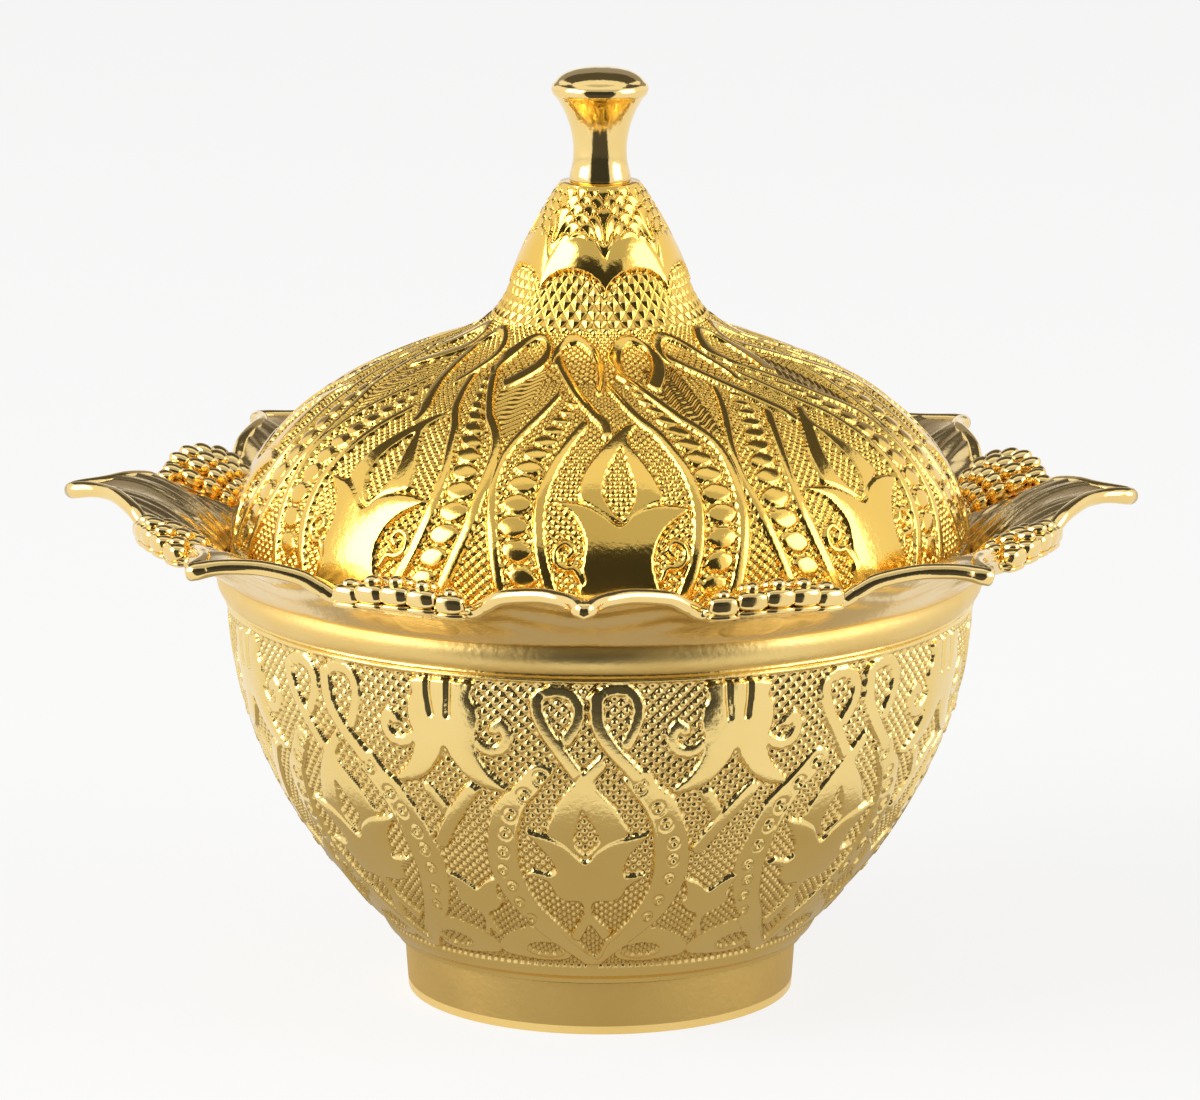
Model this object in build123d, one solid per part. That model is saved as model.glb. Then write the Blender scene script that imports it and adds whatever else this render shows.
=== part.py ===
from build123d import *
import math
import os

# A round lidded bowl for sweets or sugar, cast and gilded: a turned foot, a parabolic cup, a rim of
# eight pointed leaves with a cluster of beads between each two, and a bell-necked lid with a knob.
# Millimetres and degrees. +Z is up and the origin is the centre of the foot, on the table.

# Foot
foot_top_radius = 24.05
foot_draft = 0.45
foot_height = 6.8
foot_wall = 2.2
foot_chamfer = 0.35

# Cup
cup_step = 0.95
cup_joint_height = 0.5
cup_radius = 45.3
cup_height = 42.7
cup_wall = 1.5
cup_spigot_depth = 1.2
cup_floor = 1.6
tongue_height = 1.0
tongue_share = 0.5

# Relief cast on the cup: how far it stands off the ground, how deep it is rooted in the wall, and the
# plain bands left above and below it.
relief_depth = 0.6
relief_root = 0.3
relief_plain_top = 0.9
relief_plain_foot = 1.6

# Outlines of the relief, each a closed chain of lines and curves. A point is its turn from the leaf's
# middle in shares of half a pitch, and its height in shares of the cup's side.
medallion = [
    [(-0.367, 0.739), (-0.74, 0.55), (-0.79, 0.33), (-0.44, 0.148), (-0.011, 0.05)],
    [(-0.011, 0.05), (0.48, 0.17), (0.765, 0.35), (0.7, 0.54), (0.389, 0.725)],
    [(0.389, 0.725), (0.222, 0.688)],
    [(0.222, 0.688), (0.46, 0.5), (0.4, 0.27), (0.013, 0.098)],
    [(0.013, 0.098), (-0.46, 0.28), (-0.525, 0.5), (-0.233, 0.711)],
    [(-0.233, 0.711), (-0.367, 0.739)],
]
left_strap = [
    [(-0.356, 0.854), (-0.267, 0.773), (-0.151, 0.688)],
    [(-0.151, 0.688), (-0.056, 0.713)],
    [(-0.056, 0.713), (-0.156, 0.776), (-0.249, 0.845)],
    [(-0.249, 0.845), (-0.356, 0.854)],
]
right_strap = [
    [(0.022, 0.835), (0.116, 0.747), (0.218, 0.685)],
    [(0.218, 0.685), (0.378, 0.719)],
    [(0.378, 0.719), (0.278, 0.782), (0.151, 0.864)],
    [(0.151, 0.864), (0.022, 0.835)],
]
flame = [
    [(0.089, 0.758), (-0.122, 0.678), (-0.267, 0.591), (-0.329, 0.51)],
    [(-0.329, 0.51), (-0.036, 0.407), (0.289, 0.524)],
    [(0.289, 0.524), (0.178, 0.609), (0.04, 0.676)],
    [(0.04, 0.676), (0.116, 0.721)],
    [(0.116, 0.721), (0.089, 0.758)],
]
tulip = [
    [(-0.036, 0.435), (-0.267, 0.504), (-0.493, 0.525)],
    [(-0.493, 0.525), (-0.356, 0.462), (-0.28, 0.397)],
    [(-0.28, 0.397), (-0.422, 0.396), (-0.547, 0.38)],
    [(-0.547, 0.38), (-0.378, 0.358), (-0.284, 0.307), (-0.107, 0.288)],
    [(-0.107, 0.288), (-0.089, 0.259), (-0.216, 0.167)],
    [(-0.216, 0.167), (-0.133, 0.147)],
    [(-0.133, 0.147), (-0.022, 0.202)],
    [(-0.022, 0.202), (0.098, 0.151)],
    [(0.098, 0.151), (0.18, 0.181)],
    [(0.18, 0.181), (0.018, 0.259), (0.027, 0.288)],
    [(0.027, 0.288), (0.227, 0.301), (0.307, 0.351), (0.458, 0.38)],
    [(0.458, 0.38), (0.356, 0.394), (0.271, 0.393)],
    [(0.271, 0.393), (0.322, 0.458), (0.449, 0.524)],
    [(0.449, 0.524), (0.2, 0.506), (-0.036, 0.435)],
]
# Between two medallions, half of a hanging bell, half of a bud, and a strap.
half_bell = [
    [(0.0, 0.961), (0.138, 0.961)],
    [(0.138, 0.961), (0.138, 0.907)],
    [(0.138, 0.907), (0.244, 0.885), (0.211, 0.797)],
    [(0.211, 0.797), (0.256, 0.721), (0.422, 0.65)],
    [(0.422, 0.65), (0.178, 0.664), (0.0, 0.743)],
    [(0.0, 0.743), (0.0, 0.961)],
]
half_bud = [
    [(0.0, 0.319), (0.249, 0.366)],
    [(0.249, 0.366), (0.196, 0.303), (0.222, 0.279)],
    [(0.222, 0.279), (0.156, 0.239), (0.058, 0.221)],
    [(0.058, 0.221), (0.107, 0.154)],
    [(0.107, 0.154), (0.0, 0.167)],
    [(0.0, 0.167), (0.0, 0.319)],
]
slant_strap = [
    [(0.107, 0.653), (0.204, 0.626)],
    [(0.204, 0.626), (-0.122, 0.451)],
    [(-0.122, 0.451), (-0.227, 0.475)],
    [(-0.227, 0.475), (0.107, 0.653)],
]
# Rings and openings, each one closed curve.
left_eye = [(-0.396, 0.93), (-0.18, 0.972), (-0.018, 0.903), (-0.16, 0.79), (-0.33, 0.85)]
left_eye_hole = [(-0.307, 0.905), (-0.17, 0.93), (-0.13, 0.86), (-0.23, 0.83)]
right_eye = [(-0.007, 0.922), (0.18, 0.978), (0.356, 0.922), (0.26, 0.79), (0.07, 0.825)]
right_eye_hole = [(0.102, 0.905), (0.23, 0.932), (0.28, 0.86), (0.17, 0.83)]
flame_hole = [(-0.056, 0.598), (-0.124, 0.5), (-0.038, 0.448), (0.07, 0.5)]

# Collar under the leaves
collar_height = 4.1
collar_bulge = 0.85
ledge_height = 3.1
ledge_overlap = 1.2

# Leaves
leaf_count = 8
leaf_length = 19.7
leaf_rise = 9.4
leaf_droop = 1.6
leaf_thickness = 1.2
leaf_margin = 0.6
leaf_tip_half = 0.8
lip_width = 1.3
lip_proud = 0.35
# Points that shape a leaf's edge: the share of the leaf's length, then of half a pitch.
leaf_pull_shares = (0.677, 0.096)
leaf_belly_shares = (0.686, 0.369)
leaf_corner_shares = (0.51, 0.604)
leaf_notch_shares = (0.48, 0.663)
leaf_valley_shares = (0.457, 1.0)
# How far the sheet is lifted at each share of the way from a leaf's middle to the next cluster's.
leaf_lift_shares = [0.0, 0.24, 0.42, 0.62, 1.0]
leaf_lifts = [0.0, 0.4, 0.1, -1.9, -1.8]

# Bead clusters: a fan of beads on a swelling body. The shares of its length at which the rows stand,
# outermost first, and the beads in each. A bead is bead_fill_share of the room that it has in its row.
bead_row_shares = [0.97, 0.65, 0.39, 0.17]
bead_row_counts = [4, 5, 4, 3]
bead_fill_share = 1.16
bead_sunk_share = 0.3
cluster_half_share = 0.29
cluster_outer_share = 0.46
cluster_inner_share = 0.11
cluster_crown = 1.2
cluster_inner_half = 1.9
cluster_inner_crown = 0.7
pocket_depth = 0.5

# Lid
lid_wall = 1.4
lid_height = 46.6
shoulder_radius = 18.5
shoulder_rise = 27.4
shoulder_slope = 161.6
waist_radius = 10.9
waist_rise = 34.5
waist_slope = 107.8
lid_top_radius = 4.8
lid_top_slope = 124.4
lid_cap = 3.0
# How far each of the outline's curves keeps the direction it has at its ends, in shares of its span.
dome_rise_share = 0.61
dome_shoulder_share = 0.51
neck_start_share = 0.34
neck_end_share = 0.37
bell_start_share = 0.33
bell_end_share = 0.32
bezel_thickness = 1.0
bezel_drop = 3.4
bezel_seat = 3.0

# Knob
knob_flange_radius = 4.35
knob_flange_height = 0.6
knob_foot_radius = 3.85
knob_shoulder_height = 1.0
knob_waist_pull = 2.4
knob_flare_pull = 3.4
knob_waist_share = 0.29
knob_flare_share = 0.69
knob_rim_set = 0.3
knob_crown_share = 0.55
knob_bore_end = 0.5
knob_radius = 5.75
knob_rim_half = 0.65
knob_flare_height = 10.6
knob_crown = 1.9

# Screw and washer that hold the knob
screw_radius = 1.5
screw_reach = 5.0
screw_head_radius = 2.8
screw_head_height = 1.8
screw_slot = 0.8
washer_radius = 3.6
washer_thickness = 0.6

# Clearances
lid_seat_gap = 0.3
lid_side_gap = 0.35
bezel_gap = 0.35
solder_gap = 0.1
hole_gap = 0.15
thread_gap = 0.05

# Heights and radii that follow
foot_radius = foot_top_radius - foot_draft
cup_joint_radius = foot_top_radius + cup_step
joint_z = foot_height + cup_joint_height
cup_top = foot_height + cup_height
leaf_reach = cup_radius + leaf_length
spigot_radius = foot_top_radius - foot_wall - solder_gap
cup_underside = foot_height - cup_spigot_depth
mouth_radius = cup_radius - cup_wall
tongue_radius = mouth_radius + cup_wall * tongue_share
ledge_z = cup_top + ledge_height
lid_radius = mouth_radius + ledge_overlap
seat_radius = lid_radius + lid_side_gap
collar_top = cup_top + collar_height
lid_base = ledge_z + lid_seat_gap
lid_top = lid_base + lid_height
lid_ceiling = lid_top - lid_cap
bezel_top_radius = lid_radius - lid_wall
bezel_radius = mouth_radius - bezel_gap
pitch = 360 / leaf_count


def upright(points):
    """Points given as (radius, height), placed in the XZ plane."""
    return [(radius, 0, height) for radius, height in points]


def turned(edges):
    """A solid of revolution about the Z axis from the edges of its half section."""
    return revolve(make_face(edges), Axis.Z)


def ring(outline):
    """A turned ring whose half section is a closed polygon."""
    return turned(Polyline(*upright(outline), close=True))


def beyond(before, at, reach):
    """The point that carries on from one point through the next, so that two curves join smoothly."""
    length = math.dist(before, at)
    return tuple(b + (b - a) * reach / length for a, b in zip(before, at))


def toward(at, slope, reach):
    """The point a given reach from another, at a slope in degrees."""
    return (at[0] + reach * math.cos(math.radians(slope)), at[1] + reach * math.sin(math.radians(slope)))


def inset(points, distance):
    """A curve's control points moved sideways by a distance, to the left of the way it runs."""
    normals = []
    for (x0, y0), (x1, y1) in zip(points, points[1:]):
        length = math.dist((x0, y0), (x1, y1))
        normals.append((-(y1 - y0) / length, (x1 - x0) / length))
    moved = []
    for index, (x, y) in enumerate(points):
        before = normals[max(index - 1, 0)]
        after = normals[min(index, len(normals) - 1)]
        share = distance / (1 + before[0] * after[0] + before[1] * after[1])
        moved.append((x + share * (before[0] + after[0]), y + share * (before[1] + after[1])))
    return moved


def make_foot():
    """The turned ring that the cup stands on, open underneath."""
    inner = foot_top_radius - foot_wall
    outline = [
        (inner, 0),
        (foot_radius, 0),
        (foot_top_radius, foot_height - foot_chamfer),
        (foot_top_radius - foot_chamfer, foot_height),
        (inner, foot_height),
    ]
    return ring(outline)


def cup_side():
    """Control points of the cup's outline, a parabola that is upright at the mouth."""
    return [(cup_joint_radius, joint_z), (cup_radius, (joint_z + cup_top) / 2), (cup_radius, cup_top)]


def make_body():
    """The cup before its relief is cut, with a spigot that sits in the foot."""
    outer = cup_side()
    inner = inset(outer, cup_wall)
    floor_z = cup_underside + cup_floor
    corner = inner[0][1] - floor_z
    floor_radius = inner[0][0] - corner
    floor_end = floor_radius - corner
    tongue_top = cup_top + tongue_height
    under = [
        (cup_radius, cup_top),
        (tongue_radius, cup_top),
        (tongue_radius, tongue_top),
        (mouth_radius, tongue_top),
        (mouth_radius, cup_top),
    ]
    below = [
        (floor_end, floor_z),
        (0, floor_z),
        (0, cup_underside),
        (spigot_radius, cup_underside),
        (spigot_radius, foot_height),
        (cup_joint_radius - foot_chamfer, foot_height),
        (cup_joint_radius, joint_z),
    ]
    edges = [
        Bezier(*upright(outer)),
        Polyline(*upright(under)),
        Bezier(*upright(inner[::-1])),
        Bezier(*upright([inner[0], (floor_radius, floor_z), (floor_end, floor_z)])),
        Polyline(*upright(below)),
    ]
    return turned(edges)


def side_layer(outside, inside):
    """The part of the cup's side where the relief is, between two distances from its outline."""
    outer, inner = inset(cup_side(), -outside), inset(cup_side(), inside)
    layer = turned([
        Bezier(*upright(outer)),
        Line(*upright([outer[-1], inner[-1]])),
        Bezier(*upright(inner[::-1])),
        Line(*upright([inner[0], outer[0]])),
    ])
    low, high = joint_z + relief_plain_foot, cup_top - relief_plain_top
    return layer & Pos(0, 0, (low + high) / 2) * Cylinder(2 * cup_radius, high - low)


def on_side(point):
    """Where a point of a relief outline is, seen square on to the cup from the middle of the outline."""
    turn, rise = point
    radius = cup_radius - (cup_radius - cup_joint_radius) * (1 - rise) ** 2
    return (radius * math.sin(math.radians(turn * pitch / 2)), joint_z + rise * (cup_top - joint_z))


def chained(runs):
    """The face inside a closed chain of lines and curves."""
    edges = []
    for run in runs:
        points = [on_side(point) for point in run]
        edges.append(Line(*points) if len(points) == 2 else Spline(*points))
    return make_face(edges)


def looped(points):
    """The face inside one closed curve."""
    return make_face(Spline(*[on_side(point) for point in points], periodic=True))


def make_raised(faces, turn):
    """Relief forms over their outlines, rooted in the wall and as high as the cup's outline."""
    seen = Plane(origin=(0, 0, 0), x_dir=(0, 1, 0), z_dir=(1, 0, 0))
    forms = extrude(seen * faces, amount=2 * cup_radius, dir=(1, 0, 0))
    return Rot(0, 0, turn) * (forms & side_layer(0, relief_depth + relief_root))


def leaf_relief():
    """The outlines on a leaf's axis: a medallion with a tulip and flame, and two loops."""
    faces = chained(medallion) + chained(left_strap) + chained(right_strap) + chained(tulip)
    faces += chained(flame) - looped(flame_hole)
    return faces + (looped(left_eye) - looped(left_eye_hole)) + (looped(right_eye) - looped(right_eye_hole))


def gap_relief():
    """The outlines midway between two leaves: a hanging bell, a strap and a bud."""
    halves = chained(half_bell) + chained(half_bud)
    return halves + mirror(halves, Plane.YZ) + chained(slant_strap)


def make_cup():
    """The cup with its cast relief: the ground is cut back, and the forms are left standing on it."""
    ground = make_body() - side_layer(relief_depth, relief_depth)
    on_leaf, between = make_raised(leaf_relief(), 0), make_raised(gap_relief(), pitch / 2)
    return ground + [Rot(0, 0, index * pitch) * form for index in range(leaf_count) for form in (on_leaf, between)]


def make_collar():
    """The ring under the leaves: a rounded band outside, and the ledge that carries the lid inside."""
    band_low = (cup_radius - 0.2, cup_top)
    band_high = (cup_radius + collar_bulge, collar_top)
    band_middle = (cup_radius + collar_bulge, cup_top + collar_height / 2)
    inside = [
        band_high,
        (seat_radius, collar_top),
        (seat_radius, ledge_z),
        (mouth_radius, ledge_z),
        (mouth_radius, cup_top + tongue_height + solder_gap),
        (tongue_radius + solder_gap, cup_top + tongue_height + solder_gap),
        (tongue_radius + solder_gap, cup_top),
        band_low,
    ]
    return turned([ThreePointArc(*upright([band_low, band_middle, band_high])), Polyline(*upright(inside))])


def sheet_points(lift):
    """Control points of a radial line of the leaf sheet's upper face, as (radius, height)."""
    reach = leaf_reach + leaf_margin - seat_radius
    start = (seat_radius + leaf_margin / 4, collar_top)
    steep = (seat_radius + 0.2 * reach, collar_top + leaf_rise * 0.53 + 0.4 * lift)
    crest = (seat_radius + 0.57 * reach, collar_top + leaf_rise * 1.1 + lift)
    end = (seat_radius + reach, collar_top + leaf_rise - leaf_droop + lift)
    return [start, steep, crest, end]


def sheet_curve(turn, lift, proud):
    """One radial line of the leaf sheet, raised or lowered square to its upper face."""
    direction = Vector(1, 0, 0).rotate(Axis.Z, turn)
    points = inset(sheet_points(lift), proud)
    return Bezier(*[direction * radius + Vector(0, 0, height) for radius, height in points])


def sheet_sector(low, high):
    """The leaf sheet between the middles of two leaves, from one level to another off its upper face."""
    half = [(share * pitch / 2, lift) for share, lift in zip(leaf_lift_shares, leaf_lifts)]
    stations = half + [(pitch - turn, lift) for turn, lift in half[-2::-1]]
    sections = []
    for turn, lift in stations:
        under = sheet_curve(turn, lift, low)
        over = sheet_curve(turn, lift, high)
        ends = [Line(under @ 0, over @ 0), Line(under @ 1, over @ 1)]
        sections.append(make_face([under, over] + ends))
    return loft(sections)


def in_plan(shares):
    """A plan point from its share of a leaf's length and its share of half a pitch off the leaf's middle."""
    radius, turn = cup_radius + leaf_length * shares[0], math.radians(pitch / 2 * shares[1])
    return (radius * math.cos(turn), radius * math.sin(turn))


def leaf_flank():
    """Control points of a leaf's edge in plan, from its nib to the corner beside the bead cluster."""
    shaping = [in_plan(shares) for shares in (leaf_pull_shares, leaf_belly_shares, leaf_corner_shares)]
    return [(leaf_reach, leaf_tip_half)] + shaping


def across(point):
    """A plan point mirrored over the middle of the bead cluster, onto the next leaf."""
    return tuple((Vector(point[0], -point[1]).rotate(Axis.Z, pitch)))[:2]


def prism(face):
    """A tall block over a plan face, that the leaf sheet is trimmed with."""
    return extrude(Pos(0, 0, cup_top) * face, amount=2 * leaf_rise + collar_height, dir=(0, 0, 1))


def sector_plan():
    """The rim's outline in plan between the middles of two leaves."""
    flank = leaf_flank()
    far_flank = [across(point) for point in flank]
    middle = in_plan(leaf_valley_shares)
    near_notch = in_plan(leaf_notch_shares)
    far_notch = across(near_notch)
    centre = (0, 0)
    edges = [
        Polyline(centre, (leaf_reach, 0), flank[0]),
        Bezier(*flank),
        Line(flank[3], near_notch),
        ThreePointArc(near_notch, middle, far_notch),
        Line(far_notch, far_flank[3]),
        Bezier(*far_flank[::-1]),
        Polyline(far_flank[0], across((leaf_reach, 0)), centre),
    ]
    return make_face(edges)


def lip_plan():
    """The band along a leaf's edge where its rolled lip stands proud, on one side of the leaf."""
    flank = leaf_flank()
    inner = inset(flank, -lip_width)
    nib = [inner[0], (leaf_reach, inner[0][1]), flank[0]]
    band = make_face([Polyline(*nib), Bezier(*flank), Line(flank[3], inner[3]), Bezier(*inner[::-1])])
    one_side = Pos(leaf_reach, leaf_reach / 2) * Rectangle(leaf_reach, leaf_reach)
    return band & one_side


def seat_ends():
    """The inner end of a bead cluster's seat and the place of its outer row of beads, at turn 0."""
    valley = sheet_curve(0, leaf_lifts[-1], -pocket_depth)
    return valley @ cluster_inner_share, valley @ cluster_outer_share


def seat_plane():
    """The flat seat under a bead cluster: X runs outwards along it and Z stands off it."""
    inner, outer = seat_ends()
    outwards = outer - inner
    return Plane(origin=inner, x_dir=outwards, z_dir=Vector(0, -1, 0).cross(outwards))


def fan_length():
    """The length of the seat from the cluster's inner end to its outer row of beads."""
    inner, outer = seat_ends()
    return (outer - inner).length


def fan_half(share):
    """Half the cluster's width at a share of its length."""
    outer_half = seat_ends()[1].X * math.sin(math.radians(cluster_half_share * pitch / 2))
    return cluster_inner_half + (outer_half - cluster_inner_half) * share


def bead_radius(row):
    """The radius of a row's beads, from the room that the fan gives each of them."""
    return bead_fill_share * fan_half(bead_row_shares[row]) / bead_row_counts[row]


def make_pocket():
    """What is cut from the rim so that a bead cluster sits flat between two leaves."""
    length = fan_length() + 2 * bead_radius(0)
    back = -2 * cluster_inner_half
    half_in = cluster_inner_half + solder_gap
    half_out = fan_half(1) + bead_radius(0)
    fan = Polyline((back, -half_in), (length, -half_out), (length, half_out), (back, half_in), close=True)
    return seat_plane() * extrude(make_face(fan), amount=leaf_rise)


def make_rim():
    """The leafed rim: the collar, the eight leaves and their rolled lips, in one piece."""
    lip = lip_plan()
    lip_face = lip + Rot(0, 0, pitch) * mirror(lip, Plane.XZ)
    lips = sheet_sector(-leaf_thickness - lip_proud, lip_proud) & prism(lip_face)
    sheet = sheet_sector(-leaf_thickness, 0) & prism(sector_plan())
    sector = sheet + lips - Rot(0, 0, pitch / 2) * make_pocket()
    return make_collar() + [Rot(0, 0, index * pitch) * sector for index in range(leaf_count)]


def make_cluster():
    """A fan of beads on a swelling body, with a flat underside that lies in the rim's pocket."""
    length = fan_length()
    inner = Plane.YZ * Ellipse(cluster_inner_half, cluster_inner_crown)
    outer = Pos(length, 0, 0) * (Plane.YZ * Ellipse(fan_half(1), cluster_crown))
    fan = loft([inner, outer], ruled=True)
    beads = []
    for row, (share, count) in enumerate(zip(bead_row_shares, bead_row_counts)):
        half, bead = fan_half(share), bead_radius(row)
        crown = cluster_inner_crown + (cluster_crown - cluster_inner_crown) * share
        for index in range(count):
            off = 2 * (index + 0.5) / count - 1
            height = crown * math.sqrt(1 - off ** 2) + bead_sunk_share * bead
            beads.append(Pos(length * share, half * off, height) * Sphere(bead))
    above = extrude(Rectangle(6 * length, 6 * fan_half(1)), amount=leaf_rise)
    return seat_plane() * ((fan + beads) & above)


def lid_curves():
    """The lid's outline: the dome, the hollow of the neck, and the bell up to the knob."""
    start = (lid_radius, lid_base)
    shoulder = (shoulder_radius, lid_base + shoulder_rise)
    waist = (waist_radius, lid_base + waist_rise)
    top = (lid_top_radius, lid_top)
    dome = [start, (lid_radius, lid_base + dome_rise_share * shoulder_rise),
            toward(shoulder, shoulder_slope, -dome_shoulder_share * (lid_radius - shoulder_radius)), shoulder]
    neck_span = math.dist(shoulder, waist)
    neck = [shoulder, beyond(dome[2], shoulder, neck_start_share * neck_span),
            toward(waist, waist_slope, -neck_end_share * neck_span), waist]
    bell_span = math.dist(waist, top)
    bell = [waist, beyond(neck[2], waist, bell_start_share * bell_span),
            toward(top, lid_top_slope, -bell_end_share * bell_span), top]
    return [dome, neck, bell]


def make_lid():
    """The hollow lid shell, with a seat for the bezel and a hole for the knob's screw."""
    outer = lid_curves()
    shell = turned([Bezier(*upright(curve)) for curve in outer]
                   + [Polyline(*upright([(lid_top_radius, lid_top), (0, lid_top), (0, lid_base),
                                         (lid_radius, lid_base)]))])
    inner = [inset(curve, lid_wall) for curve in outer]
    top = inner[-1][-1]
    hollow = turned([Bezier(*upright(curve)) for curve in inner]
                    + [Polyline(*upright([top, (0, top[1]), (0, lid_base), inner[0][0]]))])
    room_height = lid_ceiling - lid_base
    room = Pos(0, 0, lid_base + room_height / 2) * Cylinder(lid_radius, room_height)
    seat = Pos(0, 0, lid_base + bezel_seat / 2) * Cylinder(bezel_top_radius, bezel_seat)
    hole = Pos(0, 0, lid_ceiling + lid_cap / 2) * Cylinder(screw_radius + hole_gap, lid_cap)
    return shell - (hollow & room) - seat - hole


def make_bezel():
    """The ring soldered inside the lid, whose skirt drops into the mouth and centres the lid."""
    skirt_bottom = lid_base - bezel_drop
    skirt_top = lid_base - lid_seat_gap / 2
    inner = bezel_radius - bezel_thickness
    outline = [
        (inner, skirt_bottom),
        (bezel_radius, skirt_bottom),
        (bezel_radius, skirt_top),
        (bezel_top_radius, lid_base),
        (bezel_top_radius, lid_base + bezel_seat),
        (inner, lid_base + bezel_seat),
    ]
    return ring(outline)


def make_knob():
    """The turned knob: a foot flange, a waist, a flared head and a low crown, with a blind bore."""
    flange_top = lid_top + knob_flange_height
    waist_start = (knob_foot_radius, lid_top + knob_shoulder_height)
    flare_end = (knob_radius - knob_rim_set, lid_top + knob_flare_height)
    flare = flare_end[1] - waist_start[1]
    rim_end = (flare_end[0], flare_end[1] + 2 * knob_rim_half)
    rim_middle = (knob_radius, flare_end[1] + knob_rim_half)
    crown_top = (0, rim_end[1] + knob_crown)
    crown_edge = (knob_crown_share * rim_end[0], crown_top[1])
    foot = [(0, lid_top), (knob_flange_radius, lid_top), (knob_flange_radius, flange_top), waist_start]
    waist = [waist_start, (knob_waist_pull, waist_start[1] + knob_waist_share * flare),
             (knob_flare_pull, waist_start[1] + knob_flare_share * flare), flare_end]
    body = turned([
        Polyline(*upright(foot)),
        Bezier(*upright(waist)),
        ThreePointArc(*upright([flare_end, rim_middle, rim_end])),
        Bezier(*upright([rim_end, crown_edge, crown_top])),
        Line(*upright([crown_top, (0, lid_top)])),
    ])
    bore_depth = screw_reach + knob_bore_end
    return body - Pos(0, 0, lid_top + bore_depth / 2) * Cylinder(screw_radius + thread_gap, bore_depth)


def make_screw():
    """The slotted screw that comes up through the lid into the knob."""
    head_top = lid_ceiling - washer_thickness
    shank_height = lid_top + screw_reach - head_top
    shank = Pos(0, 0, head_top + shank_height / 2) * Cylinder(screw_radius, shank_height)
    head = Pos(0, 0, head_top - screw_head_height / 2) * Cylinder(screw_head_radius, screw_head_height)
    slot = Pos(0, 0, head_top - screw_head_height) * Box(3 * screw_head_radius, screw_slot, screw_head_height)
    return shank + (head - slot)


def make_washer():
    """The washer between the screw's head and the lid."""
    middle = lid_ceiling - washer_thickness / 2
    disc = Cylinder(washer_radius, washer_thickness)
    return Pos(0, 0, middle) * (disc - Cylinder(screw_radius + hole_gap, washer_thickness))


def save(name, shape):
    """Writes one piece to its own STEP file."""
    export_step(shape, f"parts/{name}.step")


os.makedirs("parts", exist_ok=True)
save("foot_ring", make_foot())
save("bowl_cup", make_cup())
save("petal_rim", make_rim())
cluster = Rot(0, 0, pitch / 2) * make_cluster()
for number in range(leaf_count):
    save(f"bead_cluster_{number + 1}", Rot(0, 0, number * pitch) * cluster)
save("lid_dome", make_lid())
save("lid_bezel", make_bezel())
save("knob", make_knob())
save("knob_screw", make_screw())
save("screw_washer", make_washer())
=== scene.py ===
import math

import bmesh
import bpy
import numpy as np
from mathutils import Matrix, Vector


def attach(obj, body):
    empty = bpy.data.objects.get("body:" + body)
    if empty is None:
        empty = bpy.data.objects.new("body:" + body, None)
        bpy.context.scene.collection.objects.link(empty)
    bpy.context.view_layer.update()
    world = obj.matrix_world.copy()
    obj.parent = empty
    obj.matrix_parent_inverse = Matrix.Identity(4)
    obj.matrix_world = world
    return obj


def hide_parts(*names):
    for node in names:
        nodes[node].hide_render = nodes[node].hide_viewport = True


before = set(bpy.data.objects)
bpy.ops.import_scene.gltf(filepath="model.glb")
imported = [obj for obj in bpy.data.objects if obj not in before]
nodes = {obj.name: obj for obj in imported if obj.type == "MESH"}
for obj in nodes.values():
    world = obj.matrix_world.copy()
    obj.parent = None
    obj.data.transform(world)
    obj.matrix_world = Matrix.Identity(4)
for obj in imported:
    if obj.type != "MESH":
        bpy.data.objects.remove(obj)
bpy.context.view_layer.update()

mm = 0.001
sectorDeg = 45.0  # every pattern on the bowl comes eight times round
halfSector = sectorDeg / 2
halfTurn = math.radians(halfSector)
sheetWide = 900.0  # drawing units across one sector
sheetMid = 760.0  # the leaf's axis on the drawings of the relief
unitsPerDeg = sheetWide / sectorDeg


def bezier(points, count=60):
    pts = np.array(points, float)
    t = np.linspace(0, 1, count)[:, None]
    n = len(pts) - 1
    return sum(math.comb(n, i) * t**i * (1 - t) ** (n - i) * pts[i] for i in range(n + 1))


def chained(*curves):
    return np.vstack([curves[0]] + [c[1:] for c in curves[1:]])


def softCurve(points, closed=False, steps=5):
    # a curve through every point, rounding the corners a little as a casting does
    p = np.array(points, float)
    n = len(p)
    if n < 3:
        return p
    out = []
    for i in range(n if closed else n - 1):
        if closed:
            a, b, c, d = p[i - 1], p[i], p[(i + 1) % n], p[(i + 2) % n]
        else:
            a, b, c, d = p[max(i - 1, 0)], p[i], p[i + 1], p[min(i + 2, n - 1)]
        for s in range(steps):
            t = s / steps
            out.append(0.5 * (2 * b + (c - a) * t + (2 * a - 5 * b + 4 * c - d) * t**2
                              + (3 * b - a - 3 * c + d) * t**3))
    if not closed:
        out.append(p[-1])
    return np.array(out)


def distanceTo(line, x, y, closed=False):
    ends = np.roll(line, -1, 0) if closed else line[1:]
    starts = line if closed else line[:-1]
    best = np.full(x.shape, 1e12)
    for (ax, ay), (bx, by) in zip(starts, ends):
        vx, vy = bx - ax, by - ay
        t = np.clip(((x - ax) * vx + (y - ay) * vy) / (vx * vx + vy * vy + 1e-9), 0, 1)
        best = np.minimum(best, (x - ax - t * vx) ** 2 + (y - ay - t * vy) ** 2)
    return np.sqrt(best)


def isInside(line, x, y):
    odd = np.zeros(x.shape, bool)
    for (ax, ay), (bx, by) in zip(line, np.roll(line, -1, 0)):
        if ay == by:
            continue
        crosses = (ay > y) != (by > y)
        odd ^= crosses & (x < (bx - ax) * (y - ay) / (by - ay) + ax)
    return odd


def ease(t):
    t = np.clip(t, 0, 1)
    return t * t * (3 - 2 * t)


def bump(v):
    return np.exp(-(v**2))


def heightOn(line, x):
    return np.interp(x, line[:, 0], line[:, 1])


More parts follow.
